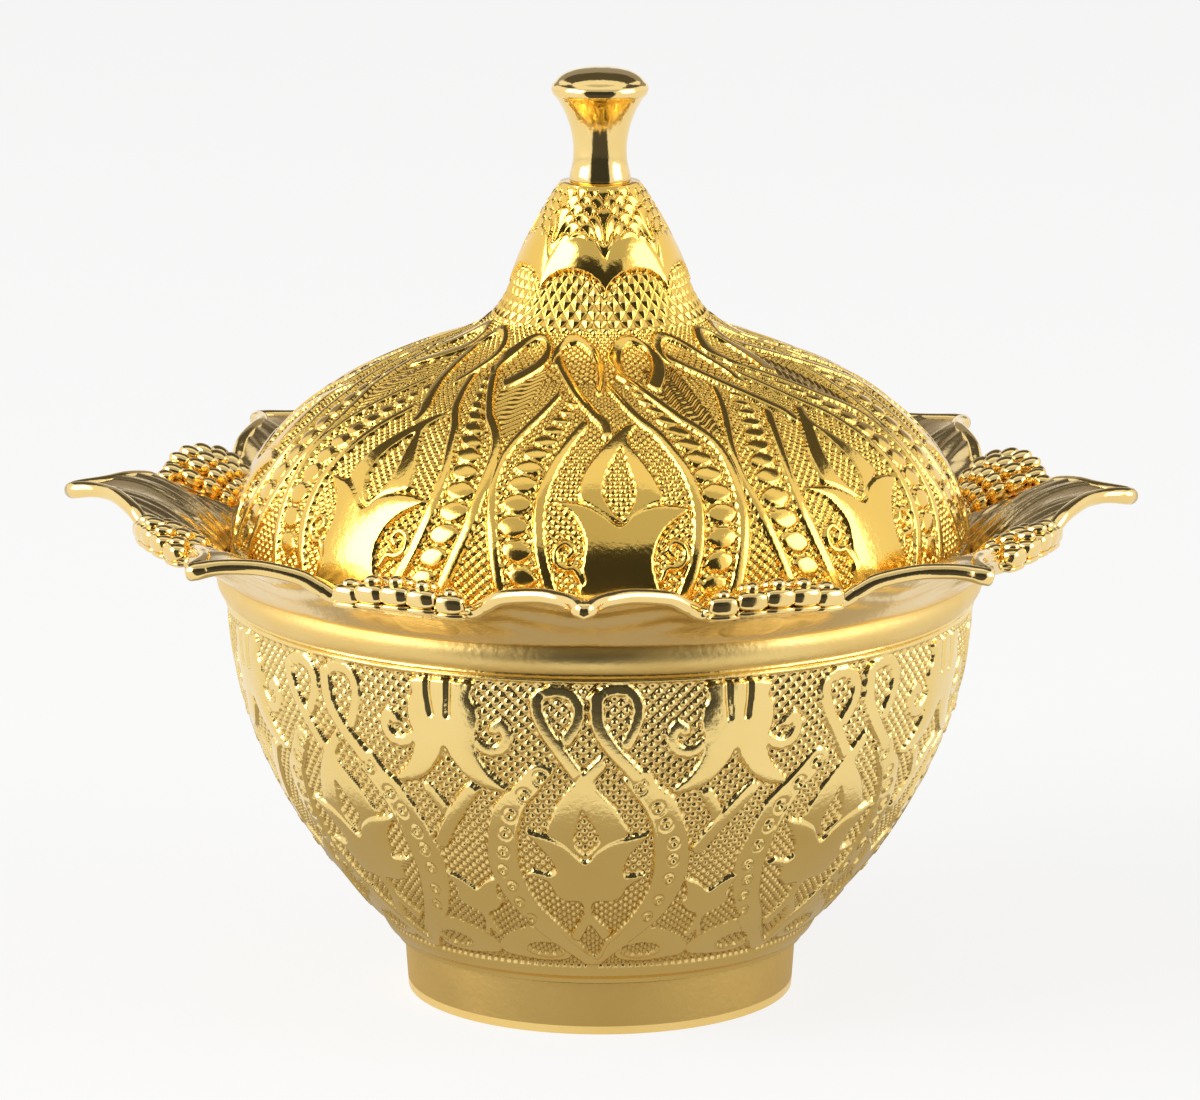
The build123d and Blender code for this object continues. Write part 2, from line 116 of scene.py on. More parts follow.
def spot(radius, angle, z):
    # angles run from the front, -Y, towards +X
    return radius * np.sin(angle), -radius * np.cos(angle), z


def zigzag(v):
    # 0 at whole numbers and 1 half-way between them
    return 1 - np.abs(2 * (v - np.floor(v)) - 1)


# drawing units: width of a flank and of the groove beside it, and how far in the face swells; the rest in mm
flankSize = {"wide": 9.0, "groove": 8.0, "reach": 16.0, "depth": 0.1, "rise": 0.08, "sag": 0.06}


class Relief:
    # heights in millimetres over a drawing, 0 at the face of the relief
    def __init__(self, x, y, ground):
        self.x, self.y, self.ground = x, y, ground
        self.h = ground.copy()

    def near(self, line, margin):
        low, high = line.min(0) - margin, line.max(0) + margin
        for k in (-2, -1, 0, 1, 2):
            x = self.x + k * sheetWide
            hit = (x > low[0]) & (x < high[0]) & (self.y > low[1]) & (self.y < high[1])
            if hit.any():
                yield hit, x[hit], self.y[hit]

    def settle(self, hit, d, top, dome):
        # d: distance from the outline, less than 0 inside it
        f, h = flankSize, self.h[hit]
        outside = np.clip(1 - d / f["groove"], 0, 1) * (d > 0)
        h = h - f["depth"] * outside**2
        w = ease(-d / f["wide"])
        swell = (dome + f["rise"]) * (1 - np.exp(-np.clip(-d, 0, None) / f["reach"])) - f["sag"]
        self.h[hit] = np.where(d < 0, h - f["depth"] + (top + swell - h + f["depth"]) * w, h)

    def plate(self, points, top=0.0, dome=0.04):
        line = softCurve(points, True)
        for hit, x, y in self.near(line, flankSize["groove"] + 2):
            d = distanceTo(line, x, y, True)
            self.settle(hit, np.where(isInside(line, x, y), -d, d), top, dome)

    def strap(self, points, half, top=0.0, dome=0.06):
        line = softCurve(points)
        for hit, x, y in self.near(line, half + flankSize["groove"] + 2):
            self.settle(hit, distanceTo(line, x, y) - half, top, dome)

    def hole(self, points, edge=8.0):
        line = softCurve(points, True)
        for hit, x, y in self.near(line, 2):
            d = distanceTo(line, x, y, True)
            w = ease(d / edge) * isInside(line, x, y)
            self.h[hit] = self.h[hit] + (self.ground[hit] - self.h[hit]) * w

    def ridge(self, points, half, rise, closed=False):
        line = softCurve(points, closed)
        for hit, x, y in self.near(line, half):
            d = distanceTo(line, x, y, closed)
            self.h[hit] += rise * np.clip(1 - (d / half) ** 2, 0, 1)

    def ring(self, cx, cy, r=19.0, rise=0.2, dimple=0.34):
        for hit, x, y in self.near(np.array([[cx, cy]]), r + 14):
            q = np.hypot(x - cx, y - cy)
            self.h[hit] += rise * bump((q - r + 5) / 5.5) - dimple * np.exp(-((q / (r * 0.45)) ** 2))
            self.h[hit] -= 0.2 * bump((q - r - 3) / 4.5)

    def disc(self, cx, cy, rx, ry, turn=0.0, top=0.0, dome=0.3):
        c, s = math.cos(math.radians(turn)), math.sin(math.radians(turn))
        reach = max(rx, ry) + 8
        for hit, x, y in self.near(np.array([[cx, cy]]), reach):
            u, v = ((x - cx) * c + (y - cy) * s) / rx, (-(x - cx) * s + (y - cy) * c) / ry
            q = (np.abs(u) ** 1.6 + np.abs(v) ** 2.0) ** 0.55
            w = ease((1.1 - q) / 0.22)
            cap = top + dome * np.sqrt(np.clip(1 - q * q, 0, 1))
            self.h[hit] = self.h[hit] * (1 - w) + cap * w - 0.1 * bump((q - 1.06) / 0.07)


def nailHeads(a, turn, count, rise):
    # rows of small pyramids with soft tops, crossing on the slant; count to the sector
    n = np.minimum(zigzag((a + turn) * count / sectorDeg), zigzag((a - turn) * count / sectorDeg))
    return rise * (1 - (1 - n) ** 2)


bowlSize = {
    "groundDepth": 0.5, "nailRise": 0.4, "nailCount": 24, "columns": 176, "rows": 212, "backColumns": 44,
    "wall": 1.5, "floorTop": 8.4, "underside": 5.6, "spigotRadius": 21.7, "turnDeg": 0.0,
}
bowlSide = chained(bezier([(25.0, 6.8), (25.0, 7.3)], 4), bezier([(25.0, 7.3), (45.3, 28.4), (45.3, 49.5)], 200))
bowlTall = 1179.0  # drawing units from the foot to the top of the cup


def flipped(points):
    return [(2 * sheetMid - x, y) for x, y in points][::-1]


def bothSides(half, mid):
    # a closed outline that is the same to the left and right of mid, from one half of it
    return [(mid + x, y) for x, y in half] + [(mid - x, y) for x, y in half[::-1] if x]


def drawBowl(x, y, turn):
    a = (x - sheetMid) / unitsPerDeg
    ground = -bowlSize["groundDepth"] + nailHeads(a, turn, bowlSize["nailCount"], bowlSize["nailRise"])
    r = Relief(x, y, ground)
    lowLeaf = [(850, 1015), (885, 965), (945, 922), (1010, 905), (1110, 930), (1170, 968), (1218, 1015), (1190, 1060),
        (1100, 1075), (980, 1082), (880, 1068)]
    for points in (lowLeaf, flipped(lowLeaf)):
        r.plate(points, top=-0.12)
    for cx in (979, 541):
        oval = [(cx + 92 * math.cos(t), 1010 + 36 * math.sin(t)) for t in np.linspace(0, 2 * math.pi, 16)[:-1]]
        r.hole(oval)
        r.ridge(oval, 7, 0.14, True)
    outerLeft = [(595, 270), (520, 345), (447, 420), (407, 526), (388, 632), (397, 707), (422, 782), (472, 864),
        (522, 926), (604, 1001), (735, 1110)]
    innerLeft = [(655, 300), (600, 370), (560, 420), (529, 501), (513, 582), (513, 657), (529, 726), (560, 801),
        (604, 857), (660, 926), (700, 968)]
    outerRight = [(935, 285), (975, 340), (1020, 375), (1047, 420), (1085, 501), (1110, 607), (1110, 695), (1085, 782),
        (1035, 870), (985, 920), (910, 989), (822, 1070), (766, 1114)]
    innerRight = [(860, 325), (926, 420), (960, 501), (972, 582), (976, 657), (969, 720), (941, 795), (897, 870),
        (854, 920), (810, 962)]
    r.plate(outerLeft + [(752, 1120)] + outerRight[::-1] + innerRight + [(766, 1034)] + innerLeft[::-1])
    innerEdge = innerLeft + [(766, 1034)] + innerRight[::-1]
    r.ridge([(px + (-12 if px < sheetMid else 12), py + (12 if py > 900 else 0)) for px, py in innerEdge], 7, 0.16)
    for cx, cy in ((608, 320), (553, 380), (501, 448), (476, 514), (457, 586), (441, 661), (463, 726), (476, 795),
                   (510, 867), (867, 292), (917, 347), (976, 420), (1007, 476), (1041, 545), (1047, 611),
                   (1044, 689), (1019, 779), (985, 851)):
        r.ring(cx, cy)
    # the two loops above the medallion
    r.strap([(690, 200), (722, 145), (728, 95), (700, 58), (650, 52), (614, 66)], 23)
    r.strap([(604, 80), (605, 105), (622, 155), (662, 220), (700, 275), (722, 308)], 25, top=0.08)
    r.strap([(872, 212), (900, 145), (905, 92), (880, 52), (830, 46), (792, 62)], 23)
    r.strap([(783, 70), (783, 110), (792, 165), (835, 232), (872, 275), (905, 312)], 27, top=0.08)
    # flame and tulip
    r.plate([(790, 246), (745, 290), (700, 340), (665, 385), (640, 430), (620, 475), (612, 515), (650, 545),
        (744, 604), (850, 548), (890, 505), (870, 460), (830, 400), (792, 358), (778, 334), (795, 310), (812, 285),
        (806, 258)])
    r.hole([(735, 420), (714, 470), (700, 520), (706, 556), (743, 592), (780, 560), (795, 525), (770, 470)])
    leftHalf = [(744, 607), (710, 582), (672, 545), (610, 514), (538, 504), (579, 557), (616, 607), (632, 652),
        (600, 662), (554, 650), (512, 674), (560, 684), (598, 700), (612, 730), (628, 760), (660, 782), (712, 784),
        (722, 820), (704, 870), (663, 939), (700, 967), (730, 925)]
    rightHalf = [(750, 893), (775, 925), (804, 961), (841, 920), (785, 857), (766, 826), (773, 784), (841, 779),
        (879, 757), (893, 722), (920, 698), (966, 672), (941, 658), (910, 664), (880, 660), (891, 601), (922, 557),
        (962, 505), (897, 514), (835, 532), (785, 564)]
    r.plate(leftHalf + rightHalf, top=0.08, dome=0.12)
    # between two medallions
    m = sheetMid + sheetWide / 2
    for s in (-1, 1):
        r.strap([(m + s * px, py) for px, py in ((95, 212), (140, 240), (182, 232), (202, 196), (188, 160),
            (164, 172))], 22)
    bell = [(-96, 36), (-100, 84), (-116, 112), (-118, 165), (-104, 212), (-112, 255), (-140, 305), (-190, 352),
        (-185, 374), (-120, 365), (-60, 332), (-16, 276), (0, 246)]
    r.plate(bothSides(bell, m), top=0.06, dome=0.18)
    for s in (-1, 1):
        r.ridge([(m + s * 34 - 6, 30), (m + s * 33 - 6, 80), (m + s * 27 - 4, 138)], 11, -0.36)
    r.strap([(m - 76, 385), (m - 52, 420), (m - 30, 462)], 25)
    r.strap([(m + 68, 378), (m + 30, 424), (m - 12, 478), (m - 50, 530), (m - 78, 572)], 28, top=0.08)
    bud = [(0, 745), (40, 715), (75, 697), (112, 688), (97, 730), (86, 770), (104, 792), (72, 835), (36, 852),
        (20, 868), (24, 905), (48, 955), (16, 966), (0, 938)]
    r.plate(bothSides(bud, m), top=0.05, dome=0.1)
    # the plain ridge at the foot and the small bead under the collar
    h = r.h
    h += (0.0 - h) * ease((y - 1092) / 14)
    h += 0.25 * bump((y - 1138) / 22) - 0.35 * bump((y - 1098) / 8)
    h += (-0.25 - h) * ease((30 - y) / 8)
    h += 0.5 * bump((y - 19) / 7.5)
    return h


lidSize = {
    "groundDepth": 0.48, "nailRise": 0.38, "nailCount": 26, "columns": 168, "rows": 200, "backColumns": 42,
    "neckColumns": 84, "neckRows": 116, "wall": 1.4, "turnDeg": 5.6,
    "split": 460.0,  # drawing height at which the neck begins
}
neckSize = {
    # in drawing units, downwards: the rows of scales, the smooth band and the lozenges under it
    "scaleFoot": 152, "scaleTall": 27, "bandTop": 218, "topDip": 66, "bandFoot": 318, "footRise": 76,
    "lozengeTop": 418, "lozengeFoot": 430, "lozengeTall": 50,
    "lozenges": 6, "scales": 3,  # to the sector
}
lidSide = chained(
    bezier([(45.0, 52.9), (45.0, 69.75), (31.3, 76.04), (18.46, 80.32)], 160),
    bezier([(18.46, 80.32), (15.09, 81.44), (12.1, 83.7), (10.92, 87.38)], 80),
    bezier([(10.92, 87.38), (9.57, 91.58), (7.22, 95.97), (4.8, 99.5)], 80),
)
lidTall = 1499.0  # drawing units from the lid's edge to the knob


def drawLid(x, y, turn):
    a = (x - sheetMid) / unitsPerDeg
    nails = nailHeads(a, turn, lidSize["nailCount"], lidSize["nailRise"])
    # half as many near the neck, where a degree is short
    bigger = nailHeads(a, turn, lidSize["nailCount"] / 2, lidSize["nailRise"])
    ground = -lidSize["groundDepth"] + nails + (bigger - nails) * ease((640 - y) / 16)
    r = Relief(x, y, ground)
    # fine ribs above the place where two straps part
    ribs = 0.22 * np.abs(np.sin(math.pi * (y + 0.35 * (x - 1100) + 5 * np.sin(x / 17)) / 23)) - 0.42
    between = ease((x - 960 - 0.28 * (y - 560)) / 14) * ease((1290 - 0.15 * (y - 560) - x) / 14)
    r.h += (ribs - r.h) * between * ease((y - 560) / 20) * ease((900 - y) / 30)
    # discs between the straps, long and thin above, nearly round below
    for cx, cy, rx, ry, tilt in (
            (538, 742, 34, 16, 10), (520, 782, 40, 17, 8), (502, 822, 46, 18, 6), (480, 864, 50, 21, 2),
            (455, 908, 52, 23, 0), (430, 955, 53, 25, 0), (414, 1005, 53, 27, 0), (405, 1060, 53, 30, 0),
            (400, 1122, 52, 32, 0), (400, 1188, 51, 33, 4), (418, 1256, 48, 32, 8), (442, 1326, 44, 30, 10),
            (850, 655, 30, 15, 25), (886, 695, 38, 16, 25), (920, 738, 44, 17, 22), (954, 782, 48, 19, 20),
            (986, 828, 50, 21, 16), (1016, 876, 52, 23, 12), (1042, 926, 53, 25, 8), (1062, 978, 54, 27, 4),
            (1076, 1034, 54, 29, 0), (1086, 1094, 54, 31, 0), (1086, 1158, 52, 32, -4), (1072, 1224, 50, 32, -8),
            (1050, 1290, 46, 31, -10), (1026, 1352, 42, 29, -12)):
        r.disc(cx, cy, rx, ry, tilt, top=-0.16, dome=0.22)
    r.strap([(610, 835), (560, 900), (515, 985), (487, 1075), (480, 1150), (492, 1240), (520, 1330), (548, 1400)], 24)
    r.strap([(455, 700), (400, 790), (345, 880), (310, 960), (300, 1050), (310, 1110), (340, 1230), (388, 1400)], 22)
    r.strap([(800, 590), (860, 625), (955, 710), (1030, 790), (1056, 820), (1121, 879), (1162, 949), (1168, 1055),
        (1156, 1173), (1133, 1261), (1080, 1400)], 24, top=0.04)
    r.strap([(730, 650), (780, 710), (830, 775), (868, 820), (927, 879), (968, 955), (998, 1026), (1009, 1114),
        (998, 1202), (974, 1285), (918, 1400)], 24, top=0.04)
    # loops at the root of the neck
    r.plate([(330, 562), (280, 530), (262, 490), (300, 440), (380, 415), (480, 420), (580, 440), (660, 470),
        (700, 510), (718, 560), (712, 650), (680, 705), (640, 670), (655, 640), (650, 575), (630, 525), (570, 482),
        (480, 458), (400, 460), (350, 485), (356, 520), (410, 548)])
    r.strap([(345, 525), (380, 545), (480, 625), (560, 700), (640, 775), (700, 835), (712, 872)], 28, top=0.06)
    r.plate([(800, 592), (765, 560), (735, 530), (730, 500), (760, 475), (805, 447), (880, 425), (1005, 422),
        (1105, 445), (1160, 480), (1185, 530), (1150, 585), (1090, 640), (1020, 690), (962, 655), (985, 630),
        (1030, 585), (1075, 535), (1090, 497), (1055, 468), (970, 456), (895, 480), (858, 515), (848, 560),
        (868, 622)], top=0.05)
    # flame, tulip and scrolls
    r.plate([(856, 836), (825, 828), (785, 836), (709, 902), (645, 973), (615, 1026), (606, 1100), (650, 1130),
        (745, 1178), (850, 1130), (898, 1110), (892, 1073), (874, 1026), (839, 967), (800, 905), (820, 868)])
    r.hole([(768, 924), (730, 960), (704, 1000), (690, 1044), (685, 1085), (709, 1130), (750, 1170), (786, 1134),
        (804, 1095), (803, 1050), (790, 1000)])
    r.plate([(745, 1176), (698, 1149), (645, 1120), (586, 1108), (512, 1112), (580, 1149), (609, 1185), (627, 1230),
        (618, 1300), (610, 1370), (625, 1440), (740, 1445), (850, 1440), (866, 1370), (850, 1300), (854, 1262),
        (874, 1220), (909, 1185), (984, 1140), (909, 1120), (850, 1123), (792, 1143)], top=0.06, dome=0.12)
    for cx, s in ((574, -1), (915, 1)):
        r.strap([(cx + s * px, py) for px, py in ((-48, 1330), (-30, 1300), (5, 1298), (32, 1275), (26, 1240),
            (-4, 1230), (-22, 1250), (-6, 1268))], 14)
    # smooth band at the foot of the lid
    h = r.h
    h += (-0.05 - h) * ease((y - 1415) / 10)
    h -= 0.3 * bump((y - 1413) / 7)
    return drawNeck(h, a, y)


def drawNeck(h, a, y):
    # lozenges, then a smooth band that dips into a heart in each sector, then rows of scales up to the knob
    s = neckSize
    slant = (y - s["lozengeFoot"]) / s["lozengeTall"]
    p, q = a * s["lozenges"] / sectorDeg + slant, a * s["lozenges"] / sectorDeg - slant
    lozenge = -0.4 + 0.4 * np.sqrt(np.minimum(zigzag(p), zigzag(q)))
    h = h + (lozenge - h) * ease((s["lozengeTop"] - y) / 12)
    turnOf = (a + 0.5) / sectorDeg
    away = np.abs((turnOf - np.floor(turnOf + 0.5)) * 2)  # 0 on the lid's axis, 1 half-way to the next
    lower = s["bandFoot"] - s["footRise"] * np.sqrt(np.clip(1 - (1 - away) ** 2, 0, 1))
    upper = s["bandTop"] - s["topDip"] * (1 - np.exp(-((away / 0.24) ** 1.2)))
    h = h - 0.22 * bump((y - lower - 3) / 6) * (y > lower)
    pillow = 0.1 * np.sin(np.clip((lower - y) / (lower - upper), 0, 1) * math.pi) ** 0.6
    h = h + (0.02 + pillow - h) * ease((lower - y) / 7)
    sag = s["topDip"] * bump(away / 0.38) * np.exp(-np.clip(s["scaleFoot"] - y, 0, None) / 60)
    row = (s["scaleFoot"] + sag - y) / s["scaleTall"]
    level = np.floor(row)
    side = a * s["scales"] / sectorDeg + 0.5 * (level % 2)
    side = side - np.floor(side) - 0.5  # across a scale, 0 in its middle
    t = row - level
    arch = lambda v: 0.1 + 0.9 * np.sqrt(np.clip(1 - (2 * v) ** 2, 0, 1))
    near, far = arch(side) - t, 1 + arch(0.5 - np.abs(side)) - t
    under = np.where(near > 0, near, far)
    scale = -0.5 + 0.72 * (1 - np.exp(-under / 0.13)) - 0.3 * under
    h = h + (scale - h) * ease((upper - y) / 7)
    return h + (0.0 - h) * ease((14 - y) / 8)


def sideAt(side, tall, y):
    # radius, height and outward direction at each drawing height
    steps = np.hypot(*np.diff(side, axis=0).T)
    along = np.concatenate([[0], np.cumsum(steps)])
    s = along[-1] * (1 - y / tall)
    at = lambda v: (np.interp(v, along, side[:, 0]), np.interp(v, along, side[:, 1]))
    near = 0.05
    (r, z), (r0, z0), (r1, z1) = at(s), at(s - near), at(s + near)
    n = np.hypot(r1 - r0, z1 - z0) + 1e-9
    # how far round the sheet has turned if its squares are to stay square
    fine = np.linspace(0, along[-1], 2000)
    rate = np.cumsum(1 / np.interp(fine, along, side[:, 0])) * (fine[1] - fine[0])
    return r, z, (z1 - z0) / n, -(r1 - r0) / n, np.degrees(np.interp(s, fine, rate))


def sectorWall(side, tall, draw, columns, rows, yTop, yLow, turnDeg):
    dy = (yLow - yTop) / rows
    ys = np.linspace(yLow + dy, yTop - dy, rows + 3)  # from the bottom up, one row more at each end
    xs = sheetMid + np.linspace(-0.5, 0.5, columns + 1) * sheetWide
    dx = xs[1] - xs[0]
    xs = np.concatenate([[xs[0] - dx], xs, [xs[-1] + dx]])
    ys = np.clip(ys, 0.0, tall)
    r, z, nr, nz, turn = sideAt(side, tall, ys)
    gx, gy = np.meshgrid(xs, ys)
    h = draw(gx, gy, np.repeat(turn[:, None], len(xs), 1))
    angle = np.radians((gx - sheetMid) / unitsPerDeg + turnDeg)
    rr = r[:, None] + h * nr[:, None]
    p = np.stack(spot(rr, angle, z[:, None] + h * nz[:, None]), -1)
    across, up = np.gradient(p, axis=1), np.gradient(p, axis=0)
    n = np.cross(across, up)
    n /= np.linalg.norm(n, axis=2)[:, :, None] + 1e-12
    inner = slice(1, -1)
    return {"p": p[inner, inner], "n": n[inner, inner], "h": h[inner, inner]}


def turned(v, deg):
    c, s = math.cos(math.radians(deg)), math.sin(math.radians(deg))
    return np.stack([v[..., 0] * c - v[..., 1] * s, v[..., 0] * s + v[..., 1] * c, v[..., 2]], -1)


def sectorsJoined(wall, first, count):
    # several sectors side by side, sharing the columns where they meet
    parts = {k: [] for k in wall}
    for i in range(count):
        cut = slice(0, None) if i == 0 else slice(1, None)
        for k in ("p", "n"):
            parts[k].append(turned(wall[k], (first + i) * sectorDeg)[:, cut])
        parts["h"].append(wall["h"][:, cut])
    return {k: np.concatenate(v, 1) for k, v in parts.items()}


def addFace(faces, loop):
    # a corner that comes twice counts once, and a face that is pinched to a line is left out
    loop = [v for i, v in enumerate(loop) if v != loop[i - 1]]
    if len(loop) > 2:
        faces.append(loop)


def newMesh(name, verts, faces=(), edges=()):
    mesh = bpy.data.meshes.new(name)
    mesh.from_pydata((np.array(verts) * mm).tolist(), edges, faces)
    mesh.shade_smooth()
    return mesh


def shellMesh(name, outer, back, startDeg, spanDeg, coarse, depth):
    # outer: the fine face. back: (radius, height) from its top edge round behind it to its foot.
    full = spanDeg > 359
    rows, cols = outer["p"].shape[:2]
    step = (cols - 1) // coarse
    front = rows * cols
    fineIndex = np.arange(front).reshape(rows, cols)
    if full:
        fineIndex[:, -1] = fineIndex[:, 0]
    more, rings = [], []
    for r, z in back:
        first = front + len(more)
        if r < 1e-6:
            more.append((0.0, 0.0, z))
            rings.append([first] * (coarse + 1))
            continue
        count = coarse if full else coarse + 1
        for j in range(count):
            more.append(spot(r, math.radians(startDeg + spanDeg * j / coarse), z))
        rings.append(list(range(first, first + count)) + ([first] if full else []))
    faces = np.stack([fineIndex[:-1, :-1], fineIndex[:-1, 1:], fineIndex[1:, 1:], fineIndex[1:, :-1]], -1)
    faces = faces.reshape(-1, 4).tolist()
    for j in range(coarse):
        fine = slice(j * step, (j + 1) * step + 1)
        faces.append(fineIndex[-1, fine].tolist() + [rings[0][j + 1], rings[0][j]])
        for low, high in zip(rings[:-1], rings[1:]):
            addFace(faces, [low[j], low[j + 1], high[j + 1], high[j]])
        faces.append([rings[-1][j], rings[-1][j + 1]] + fineIndex[0, fine].tolist()[::-1])
    if not full:
        for col in (0, -1):
            loop = fineIndex[:, col].tolist() + [ring[col] for ring in rings]
            addFace(faces, loop[::-1] if col else loop)
    mesh = newMesh(name, np.vstack([outer["p"].reshape(-1, 3), np.array(more)]), faces)
    mesh.update()
    # how far each point of the fine face lies down in the relief, 0 to 1: the mask for the painted shade in the
    # hollows
    recess = np.zeros(len(mesh.vertices), np.float32)
    recess[:front] = np.clip(-outer["h"] / depth, 0, 1).ravel()
    mesh.attributes.new("recess", "FLOAT", "POINT").data.foreach_set("value", recess)
    normals = np.zeros(len(mesh.vertices) * 3)
    mesh.vertex_normals.foreach_get("vector", normals)
    normals = normals.reshape(-1, 3)
    normals[:front] = outer["n"].reshape(-1, 3)
    # the closed ends don't turn the normals of the smooth back
    around = np.array(more)[:, [1, 0, 2]] * (-1, 1, 0)
    around /= np.maximum(np.linalg.norm(around, axis=1, keepdims=True), 1e-9)
    behind = normals[front:]
    behind -= (behind * around).sum(1, keepdims=True) * around
    behind /= np.maximum(np.linalg.norm(behind, axis=1, keepdims=True), 1e-9)
    mesh.normals_split_custom_set_from_vertices(normals.tolist())
    if full:
        dropLoose(mesh)
    return mesh


def dropLoose(mesh):
    b = bmesh.new()
    b.from_mesh(mesh)
    bmesh.ops.delete(b, geom=[v for v in b.verts if not v.link_faces], context="VERTS")
    b.to_mesh(mesh)
    b.free()


def placed(name, data):
    ob = bpy.data.objects.new(name, data)
    bpy.context.scene.collection.objects.link(ob)
    return ob


def addPiece(mesh, material, body, slotName, replaced):
    piece = placed(mesh.name, mesh)
    if material is not None:
        mesh.materials.append(material)
    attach(piece, body)
    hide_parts(*replaced)


def latheMesh(name, profile, columns):
    # an outline of (radius, height), turned once round: it starts and ends on the axis, or it closes on itself
    verts, rings = [], []
    for r, z in profile:
        if r < 1e-6:
            rings.append([len(verts)] * columns)
            verts.append((0, 0, z))
            continue
        rings.append(list(range(len(verts), len(verts) + columns)))
        for j in range(columns):
            a = 2 * math.pi * j / columns
            verts.append((r * math.cos(a), r * math.sin(a), z))
    if profile[0][0] >= 1e-6:
        rings.append(rings[0])
    faces = []
    for low, high in zip(rings[:-1], rings[1:]):
        for j in range(columns):
            k = (j + 1) % columns
            addFace(faces, [low[j], low[k], high[k], high[j]])
    mesh = newMesh(name, verts, faces)
    mesh.set_sharp_from_angle(angle=math.radians(32))
    return mesh


# each finish: its own colour, a darker colour painted into the hollows as shade, its roughness and its pits
finishes = {
    "satin": {"face": (0.96, 0.74, 0.3), "deep": (0.5, 0.27, 0.06), "rough": 0.17, "pits": 0.32},
    "lid": {"face": (0.94, 0.64, 0.155), "deep": (0.6, 0.3, 0.04), "rough": 0.12, "pits": 0.2},
    "mirror": {"face": (0.97, 0.74, 0.32), "deep": (0.5, 0.3, 0.08), "rough": 0.1, "pits": 0.15},
    "brushed": {"face": (0.9, 0.67, 0.26), "deep": (0.5, 0.3, 0.08), "rough": 0.4, "pits": 0.42},
    "leaf": {"face": (0.93, 0.73, 0.38), "deep": (0.5, 0.3, 0.08), "rough": 0.22, "pits": 0.3},
}


def fed(tree, node, values):
    # each input takes a value or another node's output
    for label, value in values.items():
        if isinstance(value, bpy.types.NodeSocket):
            tree.links.new(value, node.inputs[label])
        else:
            node.inputs[label].default_value = value


def made(tree, kind, values=None, **settings):
    node = tree.nodes.new(kind)
    for label, value in settings.items():
        setattr(node, label, value)
    fed(tree, node, values or {})
    return node


def newMaterial(name):
    mat = bpy.data.materials.new(name)
    mat.use_nodes = True
    return mat, mat.node_tree, mat.node_tree.nodes["Principled BSDF"]


def gold(name, f):
    # one plating: a slow cloud in its colour and polish, with painted shade darkening it in the hollows, and fine pits
    mat, tree, shader = newMaterial(name)
    place = made(tree, "ShaderNodeTexCoord").outputs["Object"]
    recess = made(tree, "ShaderNodeAttribute", attribute_name="recess").outputs["Fac"]
    cloud = made(tree, "ShaderNodeTexNoise", {"Vector": place, "Scale": 90.0, "Detail": 5.0}).outputs["Fac"]
    worn = [level * share for level, share in zip(f["face"], (0.9, 0.84, 0.7))]
    tone = made(tree, "ShaderNodeMix", {"Factor": cloud, "A": (*f["face"], 1), "B": (*worn, 1)}, data_type="RGBA")
    # painted shade: the colour turns towards the darker hollow colour where the relief lies deep
    dark = made(tree, "ShaderNodeMapRange", {"Value": recess, "From Min": 0.4, "From Max": 1.2, "To Max": 0.8})
    color = made(tree, "ShaderNodeMix", {
        "Factor": dark.outputs["Result"], "A": tone.outputs["Result"], "B": (*f["deep"], 1)}, data_type="RGBA")
    rough = made(tree, "ShaderNodeMapRange", {
        "Value": cloud, "From Min": 0.3, "From Max": 0.7, "To Min": f["rough"] * 0.8, "To Max": f["rough"] * 1.3})
    grain = made(tree, "ShaderNodeTexNoise", {"Vector": place, "Scale": 1500.0, "Detail": 4.0})
    pits = made(tree, "ShaderNodeBump", {
        "Height": grain.outputs["Fac"], "Strength": f["pits"], "Distance": 0.00012})
    fed(tree, shader, {"Metallic": 1.0, "Base Color": color.outputs["Result"],
                       "Roughness": rough.outputs["Result"], "Normal": pits.outputs["Normal"]})
    return mat


def steel(name):
    mat, tree, shader = newMaterial(name)
    place = made(tree, "ShaderNodeTexCoord").outputs["Object"]
    cloud = made(tree, "ShaderNodeTexNoise", {"Vector": place, "Scale": 400.0}).outputs["Fac"]
    tone = made(tree, "ShaderNodeMix", {
        "Factor": cloud, "A": (0.56, 0.55, 0.53, 1), "B": (0.68, 0.67, 0.65, 1)}, data_type="RGBA")
    fed(tree, shader, {"Metallic": 1.0, "Roughness": 0.35, "Base Color": tone.outputs["Result"]})
    return mat


satinGold, lidGold, mirrorGold, brushedGold, leafGold = (gold(k + "Gold", f) for k, f in finishes.items())
screwSteel = steel("screwSteel")
print("finishes ready")


def innerSide(side, tall, ys, wall):
    r, z, nr, nz, _ = sideAt(side, tall, ys)
    return list(zip(r - nr * wall, z - nz * wall))


def cupBack():
    # from the mouth down the inside, over the floor, and back along the underside to the foot
    s = bowlSize
    inside = [(43.8, 49.5), (43.8, 44.0), (43.75, 40.0)]
    inside += [p for p in innerSide(bowlSide, bowlTall, np.linspace(200, 1040, 16), s["wall"])
               if s["floorTop"] + 0.4 < p[1] < 39.5]
    edge, low = inside[-1][0], s["floorTop"]
    return inside + [(edge * 0.86, low + 0.1), (edge * 0.5, low), (0, low), (0, s["underside"]),
                     (s["spigotRadius"], s["underside"]), (s["spigotRadius"], 6.8)]


def quarterPieces(name, wall, back, size, *tags):
    for quarter in range(4):
        part = sectorsJoined(wall, 2 * quarter, 2)
        start = (2 * quarter - 0.5) * sectorDeg + size["turnDeg"]
        label = "%s%d" % (name, quarter + 1)
        addPiece(shellMesh(label, part, back, start, 90.0, size["backColumns"], size["groundDepth"]), *tags)


